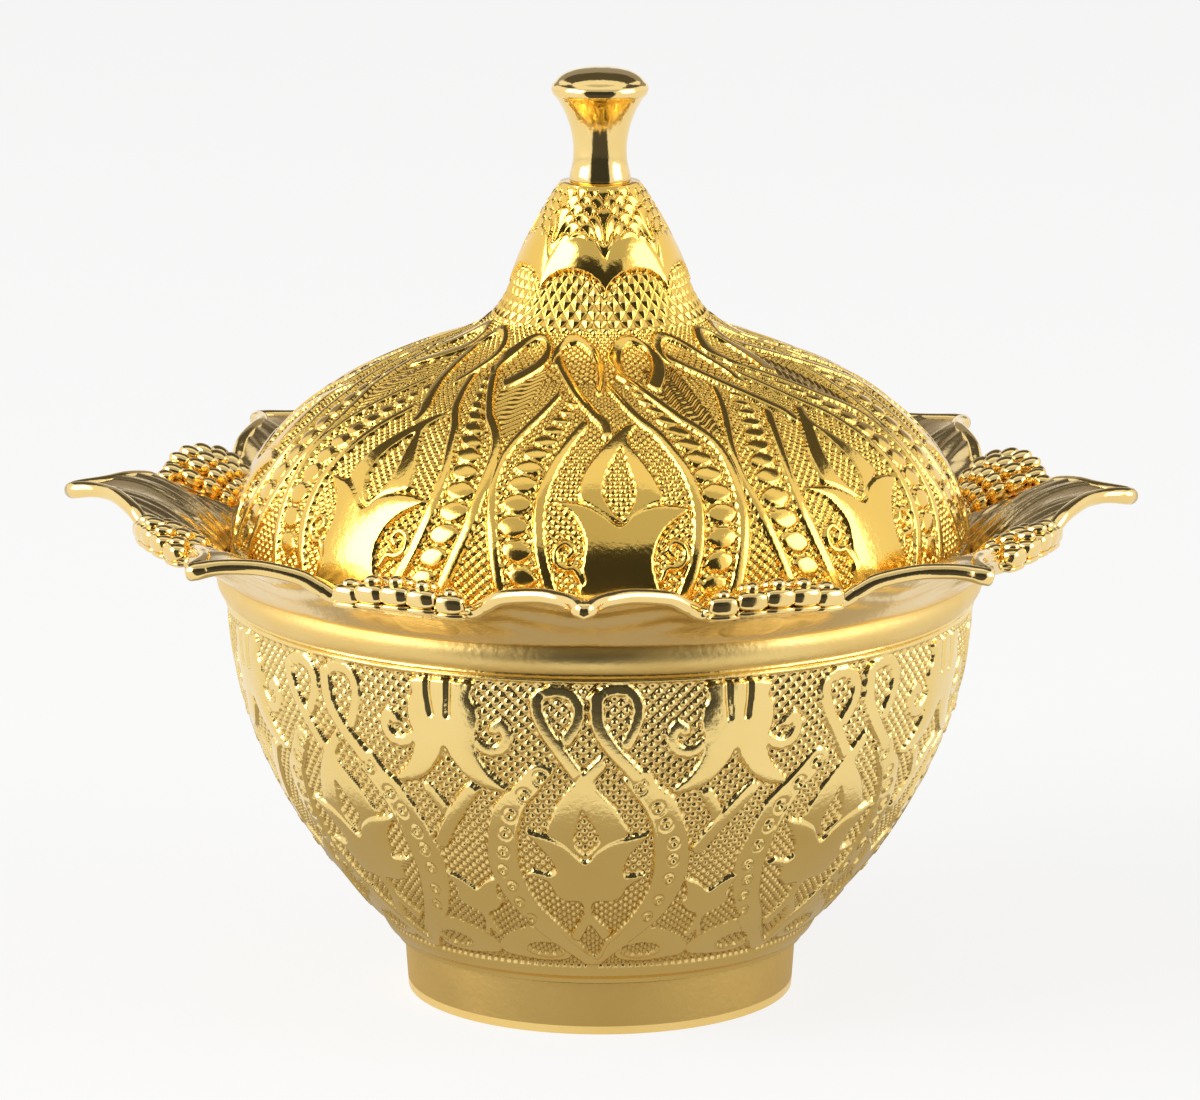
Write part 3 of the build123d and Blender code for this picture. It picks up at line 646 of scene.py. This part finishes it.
wall = sectorWall(bowlSide, bowlTall, drawBowl, bowlSize["columns"], bowlSize["rows"], 0.0, bowlTall,
                  bowlSize["turnDeg"])
quarterPieces("cupRelief", wall, cupBack(), bowlSize, satinGold, "bowl", "satin_gilt", ("bowl_cup",))
print("cup relief ready")


def lidBack(yFrom, yTo, count):
    side = innerSide(lidSide, lidTall, np.linspace(yFrom, yTo, count), lidSize["wall"])
    return [(max(r, 3.4), z) for r, z in side]


def pinned(wall):
    # every second point of the dome's top row lies on the straight line between its neighbours
    top = wall["p"][-1]
    top[1:-1:2] = (top[0:-2:2] + top[2::2]) / 2
    return wall


split = lidSize["split"]
domeWall = pinned(sectorWall(lidSide, lidTall, drawLid, lidSize["columns"], lidSize["rows"], split, lidTall,
                             lidSize["turnDeg"]))
neckWall = sectorWall(lidSide, lidTall, drawLid, lidSize["neckColumns"], lidSize["neckRows"], 0.0, split,
                      lidSize["turnDeg"])
domeBack = lidBack(split, lidTall - 20, 20) + [(43.6, 52.9)]
lidTags = (lidGold, "lid", "lid_gilt", ("lid_dome",))
quarterPieces("lidRelief", domeWall, domeBack, lidSize, *lidTags)
neckBack = [(3.0, 99.5), (3.0, 96.5), (4.2, 96.5)] + lidBack(120, split, 12)
neckStart = -0.5 * sectorDeg + lidSize["turnDeg"]
addPiece(shellMesh("lidNeck", sectorsJoined(neckWall, 0, 8), neckBack, neckStart, 360.0, lidSize["neckColumns"],
                   lidSize["groundDepth"]), *lidTags)
print("lid relief ready")


def newTree(name, *counts):
    # takes a mesh, whole numbers and a finish
    tree = bpy.data.node_groups.new(name, "GeometryNodeTree")
    tree.is_modifier = True
    sockets = [("Geometry", "Geometry"), *((label, "Int") for label in counts), ("Material", "Material")]
    for label, kind in sockets:
        tree.interface.new_socket(label, in_out="INPUT", socket_type="NodeSocket" + kind)
    tree.interface.new_socket("Geometry", in_out="OUTPUT", socket_type="NodeSocketGeometry")
    return tree, tree.nodes.new("NodeGroupInput").outputs, tree.nodes.new("NodeGroupOutput")


def finishTree(tree, shape, given, groupOut):
    # Count copies of a shape, evenly round the bowl's axis, in the finish
    spots = made(tree, "GeometryNodePoints", {"Count": given["Count"]})
    index = made(tree, "GeometryNodeInputIndex")
    step = made(tree, "ShaderNodeMath", {0: 2 * math.pi, 1: given["Count"]}, operation="DIVIDE")
    angle = made(tree, "ShaderNodeMath", {0: index.outputs[0], 1: step.outputs[0]}, operation="MULTIPLY")
    spin = made(tree, "ShaderNodeCombineXYZ", {"Z": angle.outputs[0]})
    copies = made(tree, "GeometryNodeInstanceOnPoints", {
        "Points": spots.outputs["Points"], "Instance": shape, "Rotation": spin.outputs[0]})
    real = made(tree, "GeometryNodeRealizeInstances", {"Geometry": copies.outputs["Instances"]})
    coat = made(tree, "GeometryNodeSetMaterial", {
        "Geometry": real.outputs["Geometry"], "Material": given["Material"]})
    fed(tree, groupOut, {"Geometry": coat.outputs["Geometry"]})
    return tree


def bakedMesh(name, source, tree, values):
    # runs the tree on a mesh and keeps the plain result
    holder = placed(name + "Source", source)
    modifier = holder.modifiers.new("nodes", "NODES")
    modifier.node_group = tree
    for item in tree.interface.items_tree:
        if item.item_type == "SOCKET" and item.in_out == "INPUT" and item.name in values:
            modifier[item.identifier] = values[item.name]
    graph = bpy.context.evaluated_depsgraph_get()
    result = bpy.data.meshes.new_from_object(holder.evaluated_get(graph))
    result.name = name
    bpy.data.objects.remove(holder)
    return result


def ringTree():
    tree, given, groupOut = newTree("copiesRoundTheBowl", "Count")
    return finishTree(tree, given["Geometry"], given, groupOut)


def sheetFaces(grid):
    # both faces of a thin sheet: the points of its lower face follow those of the upper in the same order
    count, faces = grid.size, []
    corners = np.stack([grid[:-1, :-1], grid[1:, :-1], grid[1:, 1:], grid[:-1, 1:]], -1)
    for a, b, c, d in corners.reshape(-1, 4).tolist():
        faces += [(a, b, c, d), (a + count, d + count, c + count, b + count)]
    return faces


ringCopies = ringTree()
leafSize = {
    "count": 8, "mouthRadius": 45.45, "thick": 1.2, "lipRadius": 0.9, "lipProud": 0.3, "veinRise": 0.22,
    "clusterEdge": 53.6, "rows": 46,
    "root": 45.5, "reach": 19.5, "liftReach": 9.5,  # where a leaf leaves the collar, and how far it goes from there
}
leafFlank = bezier([(65.0, 0.8), (58.6, 2.2), (58.2, 8.5), (53.8, 13.0)], 60)
leafCurve = bezier([(45.5, 53.6), (49.5, 58.6), (57.0, 63.9), (65.6, 61.4)], 120)
# how the surface rises and falls from a leaf's axis, at 0, to the middle of the cluster, at 1
leafLift = softCurve([(0.0, 0.1), (0.12, 0.3), (0.24, 0.45), (0.42, 0.1), (0.52, -0.8), (0.64, -1.7), (1.0, -1.8)],
                     steps=12)


def leafEdgeRadius(deg):
    edge = leafSize["clusterEdge"]
    r = np.concatenate([[65.2], np.hypot(leafFlank[:, 0], leafFlank[:, 1]), [54.6, edge, edge]])
    a = np.concatenate([[0.0], np.degrees(np.arctan2(leafFlank[:, 1], leafFlank[:, 0])), [14.1, 15.2, halfSector]])
    return np.interp(np.abs(deg), a, r)


def leafHeight(radius, deg):
    z = heightOn(leafCurve, radius)
    lift = heightOn(leafLift, np.abs(deg) / halfSector)
    return z + lift * ease((radius - leafSize["root"]) / leafSize["liftReach"])


def leafColumns():
    half = np.concatenate([np.linspace(0, 3, 13), np.linspace(3.3, 13.5, 28), np.linspace(13.9, 15.4, 6),
                           np.linspace(16.2, halfSector, 8)])
    return np.concatenate([-half[::-1], half[1:]])


def leafTopRelief(radius, deg):
    # veins that start side by side at the mouth and gather towards the tip, with a smooth panel between
    s = (radius - leafSize["root"]) / leafSize["reach"]
    w = np.radians(deg) * radius
    panel = 3.4 * np.sin(np.clip((s - 0.1) / 0.9, 0, 1) * math.pi) ** 0.8 + 0.01
    q = np.abs(w) / panel
    rim = bump((q - 1.0) / 0.16) * (s > 0.12) * (s < 0.95)
    veins = np.sin((np.abs(w) / (10.5 - 5.0 * s)) * 19.0 - 4.0 * s)
    wrinkles = 0.12 * np.sin(deg * 3.1 + 2.4 * np.sin(deg * 0.7 + 5 * s)) * bump(s / 0.42)
    outside = ease((q - 1.1) / 0.3) * (1 - ease((s - 0.85) / 0.15))
    return leafSize["veinRise"] * rim + 0.17 * veins * outside + wrinkles - 0.1 * ease((1 - q) / 0.3)


def leafLowRelief(radius, deg):
    w = np.radians(deg) * radius
    arcs = np.sin((radius - leafSize["root"] - 0.035 * w**2) * 1.7)
    return 0.13 * arcs * ease((radius - 47) / 3)


def leafMesh():
    cols, rows = leafColumns(), leafSize["rows"]
    s = np.linspace(0, 1, rows + 1)[:, None]
    outer = leafEdgeRadius(cols)[None, :] - 0.35
    radius = leafSize["mouthRadius"] + (outer - leafSize["mouthRadius"]) * s
    deg = np.repeat(cols[None, :], rows + 1, 0)
    top = leafHeight(radius, deg)
    slope = (leafHeight(radius + 0.05, deg) - leafHeight(radius - 0.05, deg)) / 0.1
    k = 1 / np.sqrt(1 + slope**2)
    fade = ease((1 - s) / 0.06)
    up = leafTopRelief(radius, deg) * fade
    low = leafSize["thick"] - leafLowRelief(radius, deg) * fade
    a = np.radians(deg)
    sheets = []
    for off in (up, -low):
        rr = radius - slope * k * off
        sheets.append(np.stack(spot(rr, a, top + k * off), -1).reshape(-1, 3))
    grid = np.arange(top.size).reshape(top.shape)
    faces, at, count = sheetFaces(grid), grid.tolist(), grid.size
    for j in range(len(cols) - 1):
        faces.append((at[0][j], at[0][j + 1], at[0][j + 1] + count, at[0][j] + count))
        faces.append((at[-1][j + 1], at[-1][j], at[-1][j] + count, at[-1][j + 1] + count))
    for i in range(rows):
        faces.append((at[i][0], at[i][0] + count, at[i + 1][0] + count, at[i + 1][0]))
        faces.append((at[i][-1], at[i + 1][-1], at[i + 1][-1] + count, at[i][-1] + count))
    mesh = newMesh("leaf", np.vstack(sheets), faces)
    mesh.set_sharp_from_angle(angle=math.radians(50))
    return mesh


leaves = bakedMesh("leafRim", leafMesh(), ringCopies, {"Count": leafSize["count"], "Material": leafGold})
addPiece(leaves, None, "bowl", "bright_gilt", ("petal_rim",))


def lipPath():
    r = leafSize["lipRadius"]
    side = [(x, max(w - r * 0.8, 0)) for x, w in leafFlank[:-3]]
    side = [(x - 0.25, w) for x, w in side if w > 0.16 and x < 63.6]
    side += [(53.4, 13.0), (53.8, 13.9), (54.3, 14.6)]
    path = [(x, -w) for x, w in side[::-1]] + [(64.1, 0.0)] + side
    return softCurve(path, steps=2)


def lipCurveMesh():
    path = lipPath()
    radius, deg = np.hypot(path[:, 0], path[:, 1]), np.degrees(np.arctan2(path[:, 1], path[:, 0]))
    z = leafHeight(radius, deg) - leafSize["lipRadius"] + leafSize["lipProud"]
    steps = [(i, i + 1) for i in range(len(path) - 1)]
    mesh = newMesh("lipPath", np.stack([path[:, 1], -path[:, 0], z], -1), (), steps)
    tip = bump(path[:, 1] / 1.2)
    end = np.minimum(np.arange(len(path)), np.arange(len(path))[::-1]) / 6.0
    thick = leafSize["lipRadius"] * (1 + 0.18 * tip) * np.clip(0.72 + 0.28 * end, 0, 1)
    mesh.attributes.new("thick", "FLOAT", "POINT").data.foreach_set("value", (thick * mm).astype(np.float32))
    return mesh


def sweepTree():
    tree, given, groupOut = newTree("lipAlongAPath", "Count", "Sides")
    curve = made(tree, "GeometryNodeMeshToCurve", {"Mesh": given["Geometry"]})
    thick = made(tree, "GeometryNodeInputNamedAttribute", {"Name": "thick"}, data_type="FLOAT")
    section = made(tree, "GeometryNodeCurvePrimitiveCircle", {"Resolution": given["Sides"]})
    bar = made(tree, "GeometryNodeCurveToMesh", {
        "Curve": curve.outputs["Curve"], "Profile Curve": section.outputs["Curve"],
        "Scale": thick.outputs["Attribute"], "Fill Caps": True})
    soft = made(tree, "GeometryNodeSetShadeSmooth", {"Geometry": bar.outputs["Mesh"]})
    return finishTree(tree, soft.outputs["Geometry"], given, groupOut)


lips = bakedMesh("leafLips", lipCurveMesh(), sweepTree(), {
    "Count": leafSize["count"], "Sides": 20, "Material": mirrorGold})
addPiece(lips, None, "bowl", "bright_gilt", ("petal_rim",))
print("leaves ready")


clusterSize = {
    "count": 8, "innerRadius": 45.9, "outerRadius": 56.2, "innerHalf": 3.0, "outerHalf": 7.5, "crown": 1.3,
    "beadSegments": 12, "beadRings": 8,
    # each row: radius from the axis, beads, spread to each side, half width, half length, half height
    "rows": [(55.4, 5, 6.1, 1.02, 1.6, 0.9), (53.2, 5, 5.5, 1.22, 1.6, 0.95), (51.0, 5, 4.5, 1.06, 1.5, 0.95),
             (49.1, 5, 3.6, 0.88, 1.3, 0.8), (47.5, 5, 2.8, 0.68, 1.0, 0.65), (46.3, 4, 1.9, 0.58, 0.8, 0.5)],
    "lobes": 5, "lobeRadius": 56.2, "lobeHeight": 60.2, "lobeHalf": (1.92, 1.2, 1.14), "lobeSpread": 6.4,
    "lobeBow": 0.55, "lobeDroop": 0.012, "ledgeBack": 0.35, "ledgeDrop": 1.28, "ledgeHalf": 0.42,
}
fanTopLine = np.array([(45.5, 54.4), (46.4, 55.2), (47.5, 56.3), (49.0, 57.7), (51.0, 59.4), (53.4, 60.8),
                       (57.5, 62.0)])
fanLowLine = np.array([(45.5, 52.9), (48.0, 54.2), (50.0, 55.5), (52.0, 56.6), (54.0, 57.6), (56.5, 58.6)])


def fanShare(radius):
    c = clusterSize
    return np.clip((radius - c["innerRadius"]) / (c["outerRadius"] - c["innerRadius"]), 0, 1.1)


def fanWidth(radius):
    c = clusterSize
    return c["innerHalf"] + (c["outerHalf"] - c["innerHalf"]) * fanShare(radius) ** 0.8


def fanTop(radius, w):
    v = np.clip(np.abs(w) / fanWidth(radius), 0, 1)
    return heightOn(fanTopLine, radius) - clusterSize["crown"] * v**2


def fanBody():
    c = clusterSize
    nu, nv = 26, 24
    u = np.linspace(0, 1, nu + 1)
    reach = c["innerRadius"] + (c["outerRadius"] - c["innerRadius"]) * u
    nose = np.sqrt(np.clip(1 - np.clip((u - 0.86) / 0.14, 0, 1) ** 2, 0, 1))
    verts = []
    for side in (1, -1):
        for i in range(nu + 1):
            high = heightOn(fanTopLine, reach[i]) - 0.35
            low = heightOn(fanLowLine, reach[i])
            for j in range(nv + 1):
                v = -1 + 2 * j / nv
                w = v * fanWidth(reach[i])
                lens = (1 - abs(v) ** 3.0) * nose[i]
                middle = (high + low) / 2 - 0.5 * c["crown"] * v * v
                z = middle + side * (high - low) / 2 * lens
                verts.append(spot(reach[i], halfTurn + w / reach[i], z))
    mesh = newMesh("fanBody", verts, sheetFaces(np.arange(len(verts) // 2).reshape(nu + 1, nv + 1)))
    b = bmesh.new()
    b.from_mesh(mesh)
    bmesh.ops.remove_doubles(b, verts=b.verts, dist=1e-6)
    bmesh.ops.dissolve_degenerate(b, edges=b.edges, dist=1e-7)
    bmesh.ops.recalc_face_normals(b, faces=b.faces)
    b.to_mesh(mesh)
    b.free()
    mesh.shade_smooth()
    return mesh


def beadSpots():
    spots, sizes, turns = [], [], []
    for radius, beads, spread, half, long, tall in clusterSize["rows"]:
        for i in range(beads):
            w = spread * (2 * i / (beads - 1) - 1)
            r = radius + 0.7 * (1 - (w / spread) ** 2) * fanShare(radius)
            slope = math.atan2(fanTop(r + 0.8, w) - fanTop(r - 0.8, w), 1.6)
            spots.append(spot(r, halfTurn + w / r, fanTop(r, w)))
            sizes.append((half, long, tall))
            turns.append((-slope, 0, halfTurn + math.atan2(w, radius - 40.0)))
    mesh = newMesh("beadSpots", spots)
    for label, rows in (("beadSize", np.array(sizes) * mm), ("beadTurn", np.array(turns))):
        mesh.attributes.new(label, "FLOAT_VECTOR", "POINT").data.foreach_set("vector", rows.astype(np.float32).ravel())
    return mesh


def lobesMesh():
    # the scalloped lip of a cluster: rounded blocks side by side over a thin ledge
    c = clusterSize
    verts, faces, blocks = [], [], []
    halfX, halfY, _ = c["lobeHalf"]
    for i in range(c["lobes"]):
        w = c["lobeSpread"] * (2 * i / (c["lobes"] - 1) - 1)
        out = c["lobeBow"] * (1 - (w / c["lobeSpread"]) ** 2)
        radius, droop = c["lobeRadius"] + out, c["lobeDroop"] * w * w
        blocks.append((w, radius, c["lobeHeight"] + 0.3 * out - droop, c["lobeHalf"], 2.9))
        blocks.append((w, radius - c["ledgeBack"], c["lobeHeight"] - c["ledgeDrop"] - droop,
                       (halfX * 1.04, halfY, c["ledgeHalf"]), 3.2))
    rings, segments = 12, 24
    for w, radius, z, (sx, sy, sz), power in blocks:
        a = halfTurn + w / radius
        out = np.array([math.sin(a), -math.cos(a), 0])
        side = np.array([math.cos(a), math.sin(a), 0])
        rows = []
        for i in range(rings + 1):
            lat = -math.pi / 2 + math.pi * i / rings
            count = segments if 0 < i < rings else 1
            rows.append([len(verts) + (j if count > 1 else 0) for j in range(segments)])
            for j in range(count):
                lon = 2 * math.pi * j / segments
                p = np.array([math.cos(lat) * math.cos(lon), math.cos(lat) * math.sin(lon), math.sin(lat)])
                p = p / (np.abs(p) ** power).sum() ** (1 / power)
                verts.append(out * radius + side * p[0] * sx + out * p[1] * sy + np.array([0, 0, z + p[2] * sz]))
        for low, high in zip(rows[:-1], rows[1:]):
            for j in range(segments):
                k = (j + 1) % segments
                addFace(faces, [low[k], low[j], high[j], high[k]])
    return newMesh("lobes", verts, faces)


def beadTree():
    tree, given, groupOut = newTree("beadsOnAFan", "Count", "Segments", "Rings")
    ball = made(tree, "GeometryNodeMeshUVSphere", {"Segments": given["Segments"], "Rings": given["Rings"]})
    soft = made(tree, "GeometryNodeSetShadeSmooth", {"Geometry": ball.outputs["Mesh"]})
    size, turn = (made(tree, "GeometryNodeInputNamedAttribute", {"Name": label}, data_type="FLOAT_VECTOR")
                  for label in ("beadSize", "beadTurn"))
    beads = made(tree, "GeometryNodeInstanceOnPoints", {
        "Points": given["Geometry"], "Instance": soft.outputs["Geometry"],
        "Rotation": turn.outputs["Attribute"], "Scale": size.outputs["Attribute"]})
    real = made(tree, "GeometryNodeRealizeInstances", {"Geometry": beads.outputs["Instances"]})
    return finishTree(tree, real.outputs["Geometry"], given, groupOut)


clusterNodes = ["bead_cluster_%d" % (i + 1) for i in range(8)]
count = clusterSize["count"]
for name, source, tree, values in (
        ("beadFans", fanBody(), ringCopies, {"Count": count, "Material": leafGold}),
        ("rimBeads", beadSpots(), beadTree(), {
            "Count": count, "Segments": clusterSize["beadSegments"], "Rings": clusterSize["beadRings"],
            "Material": mirrorGold}),
        ("rimLobes", lobesMesh(), ringCopies, {"Count": count, "Material": mirrorGold})):
    addPiece(bakedMesh(name, source, tree, values), None, "bowl", "bright_gilt", clusterNodes)
print("bead clusters ready")


collarSize = {"mouth": 43.8, "foot": 49.5, "top": 53.7, "ledge": 52.6, "seat": 45.35, "lip": 45.42, "radius": 45.5,
              "bulge": 1.05}


def collarProfile():
    c = collarSize
    side = [(c["radius"] + c["bulge"] * math.sin(math.pi * t) ** 0.8, c["foot"] + (c["top"] - c["foot"]) * t)
            for t in np.linspace(0.0, 0.9, 15)]
    return side + [(c["lip"], c["top"]), (c["seat"], c["ledge"]), (c["mouth"], c["ledge"]), (c["mouth"], c["foot"])]


addPiece(latheMesh("rimCollar", collarProfile(), 192), brushedGold, "bowl", "bright_gilt", ("petal_rim",))

knobProfile = chained(
    np.array([(0.0, 99.5), (3.6, 99.5), (3.72, 99.75), (3.7, 100.1)]),
    bezier([(3.64, 100.5), (2.7, 103.2), (3.34, 107.05), (5.38, 109.8)], 30),
    bezier([(5.38, 109.8), (5.98, 110.2), (5.98, 111.2), (5.4, 111.5)], 12),
    bezier([(5.4, 111.5), (4.3, 113.28), (0.0, 113.3)], 14),
)
addPiece(latheMesh("turnedKnob", knobProfile, 96), mirrorGold, "lid", "bright_gilt", ("knob",))

for nodeName, finish in (("foot_ring", brushedGold), ("lid_bezel", lidGold), ("knob_screw", screwSteel),
                         ("screw_washer", screwSteel)):
    mesh = nodes[nodeName].data
    mesh.materials.clear()
    mesh.materials.append(finish)
print("turned pieces ready")


studio = {"world": 0.52, "key": 12.0, "fill": 6.0, "floor": (0.82, 0.81, 0.79), "floorGlow": 0.8,
          "silk": 0.6, "apron": 0.06, "ceiling": 0.08, "back": 0.32, "table": 0.46}
warmGrey = (1, 0.93, 0.86)


def plainlySeen(tree):
    # 1 where the camera sees a thing itself, or in metal or glass
    rays = made(tree, "ShaderNodeLightPath").outputs
    seen = rays["Is Camera Ray"]
    for label in ("Is Glossy Ray", "Is Transmission Ray"):
        seen = made(tree, "ShaderNodeMath", {0: seen, 1: rays[label]}, operation="MAXIMUM").outputs[0]
    return seen


def pale(name, color, light):
    # a floor that is pale by itself where it is plainly seen, by this share, and matt and shaded for the rest
    mat, tree, shader = newMaterial(name)
    fed(tree, shader, {"Base Color": (*color, 1), "Roughness": 0.9, "Specular IOR Level": 0.0})
    glow = made(tree, "ShaderNodeEmission")
    share = made(tree, "ShaderNodeMath", {0: plainlySeen(tree), 1: light}, operation="MULTIPLY")
    mix = made(tree, "ShaderNodeMixShader", {
        "Fac": share.outputs[0], 1: shader.outputs["BSDF"], 2: glow.outputs["Emission"]})
    fed(tree, tree.nodes["Material Output"], {"Surface": mix.outputs["Shader"]})
    return mat


def buildWorld():
    world = bpy.data.worlds.new("studioWorld")
    bpy.context.scene.world = world
    world.use_nodes = True
    tree = world.node_tree
    level = made(tree, "ShaderNodeMapRange", {
        "Value": plainlySeen(tree), "To Min": studio["world"], "To Max": 1.0})
    fed(tree, tree.nodes["Background"], {"Color": (1, 1, 1, 1), "Strength": level.outputs["Result"]})


def lamp(name, place, size, watts):
    # an area lamp that looks at the middle of the bowl
    data = bpy.data.lights.new(name, "AREA")
    data.shape = "RECTANGLE"
    data.size, data.size_y = size
    data.energy = watts
    ob = placed(name, data)
    ob.location = place
    ob.rotation_euler = (Vector((0, 0, 0.05)) - Vector(place)).to_track_quat("-Z", "Y").to_euler()


def flatPiece(name, corners, mat):
    mesh = bpy.data.meshes.new(name)
    mesh.from_pydata(corners, [], [tuple(range(len(corners)))])
    mesh.materials.append(mat)
    return placed(name, mesh)


def card(name, corners, glow=0.03, tint=(1, 1, 1)):
    # a dark or softly lit card out of the camera's sight, as a photographer sets one before polished metal; the warm
    # disc under the bowl is a painted reflection
    mat, tree, shader = newMaterial(name + "Cloth")
    fed(tree, shader, {"Base Color": (0.02, 0.02, 0.02, 1), "Roughness": 1.0, "Specular IOR Level": 0.0,
                       "Emission Color": (*tint, 1), "Emission Strength": glow})
    ob = flatPiece(name, corners, mat)
    ob.visible_camera = False
    ob.visible_shadow = False
    ob.visible_diffuse = False
    return ob


def panel(left, right, low, high):
    # low and high: the depth and height at which the two long edges run
    return ((left, *low), (right, *low), (right, *high), (left, *high))


floor = flatPiece("floor", ((-6, -6, 0), (6, -6, 0), (6, 6, 0), (-6, 6, 0)),
                  pale("paleFloor", studio["floor"], studio["floorGlow"]))
buildWorld()
lamp("keyLamp", (-1.0, -0.45, 0.65), (0.9, 0.8), studio["key"])
lamp("fillLamp", (1.1, -0.3, 0.55), (0.8, 0.8), studio["fill"])
discEdge = [(0.064 * math.cos(t), 0.064 * math.sin(t), 0.001) for t in np.linspace(0, 2 * math.pi, 49)[:-1]]
cards = [
    card("frontFlag", panel(-0.95, 1.05, (-1.3, 0), (-1.3, 1.2))),
    card("apronFlag", ((-0.052, -0.102, 0.002), (0.056, -0.102, 0.002), (1.05, -1.3, 0.002), (-0.95, -1.3, 0.002)),
         studio["apron"]),
    card("ceilingFlag", panel(-1.1, 1.1, (0.3, 1.3), (1.4, 1.1)), studio["ceiling"], warmGrey),
    card("backFlag", panel(-1.0, 1.0, (1.4, 0.4), (1.4, 1.1)), studio["back"], warmGrey),
    card("silk", panel(-1.2, 1.2, (-1.25, 1.2), (-0.3, 1.55)), studio["silk"]),
    # painted reflection: a warm glowing disc round the foot, seen only in the gold, in place of the bowl's own golden
    # light on the table
    card("paintedTableReflection", discEdge, studio["table"], (1, 0.88, 0.68)),
]

shot = {"lens": 184.2, "place": (0.02035, -0.7287, 0.2142), "downDeg": 12.38, "turnDeg": 1.6}
camera = placed("camera", bpy.data.cameras.new("camera"))
camera.data.sensor_width = 36.0
camera.data.lens = shot["lens"]
camera.location = shot["place"]
camera.rotation_euler = (math.radians(90 - shot["downDeg"]), 0, math.radians(shot["turnDeg"]))
bpy.context.scene.camera = camera
bpy.context.scene.view_settings.view_transform = "Standard"
print("studio ready")
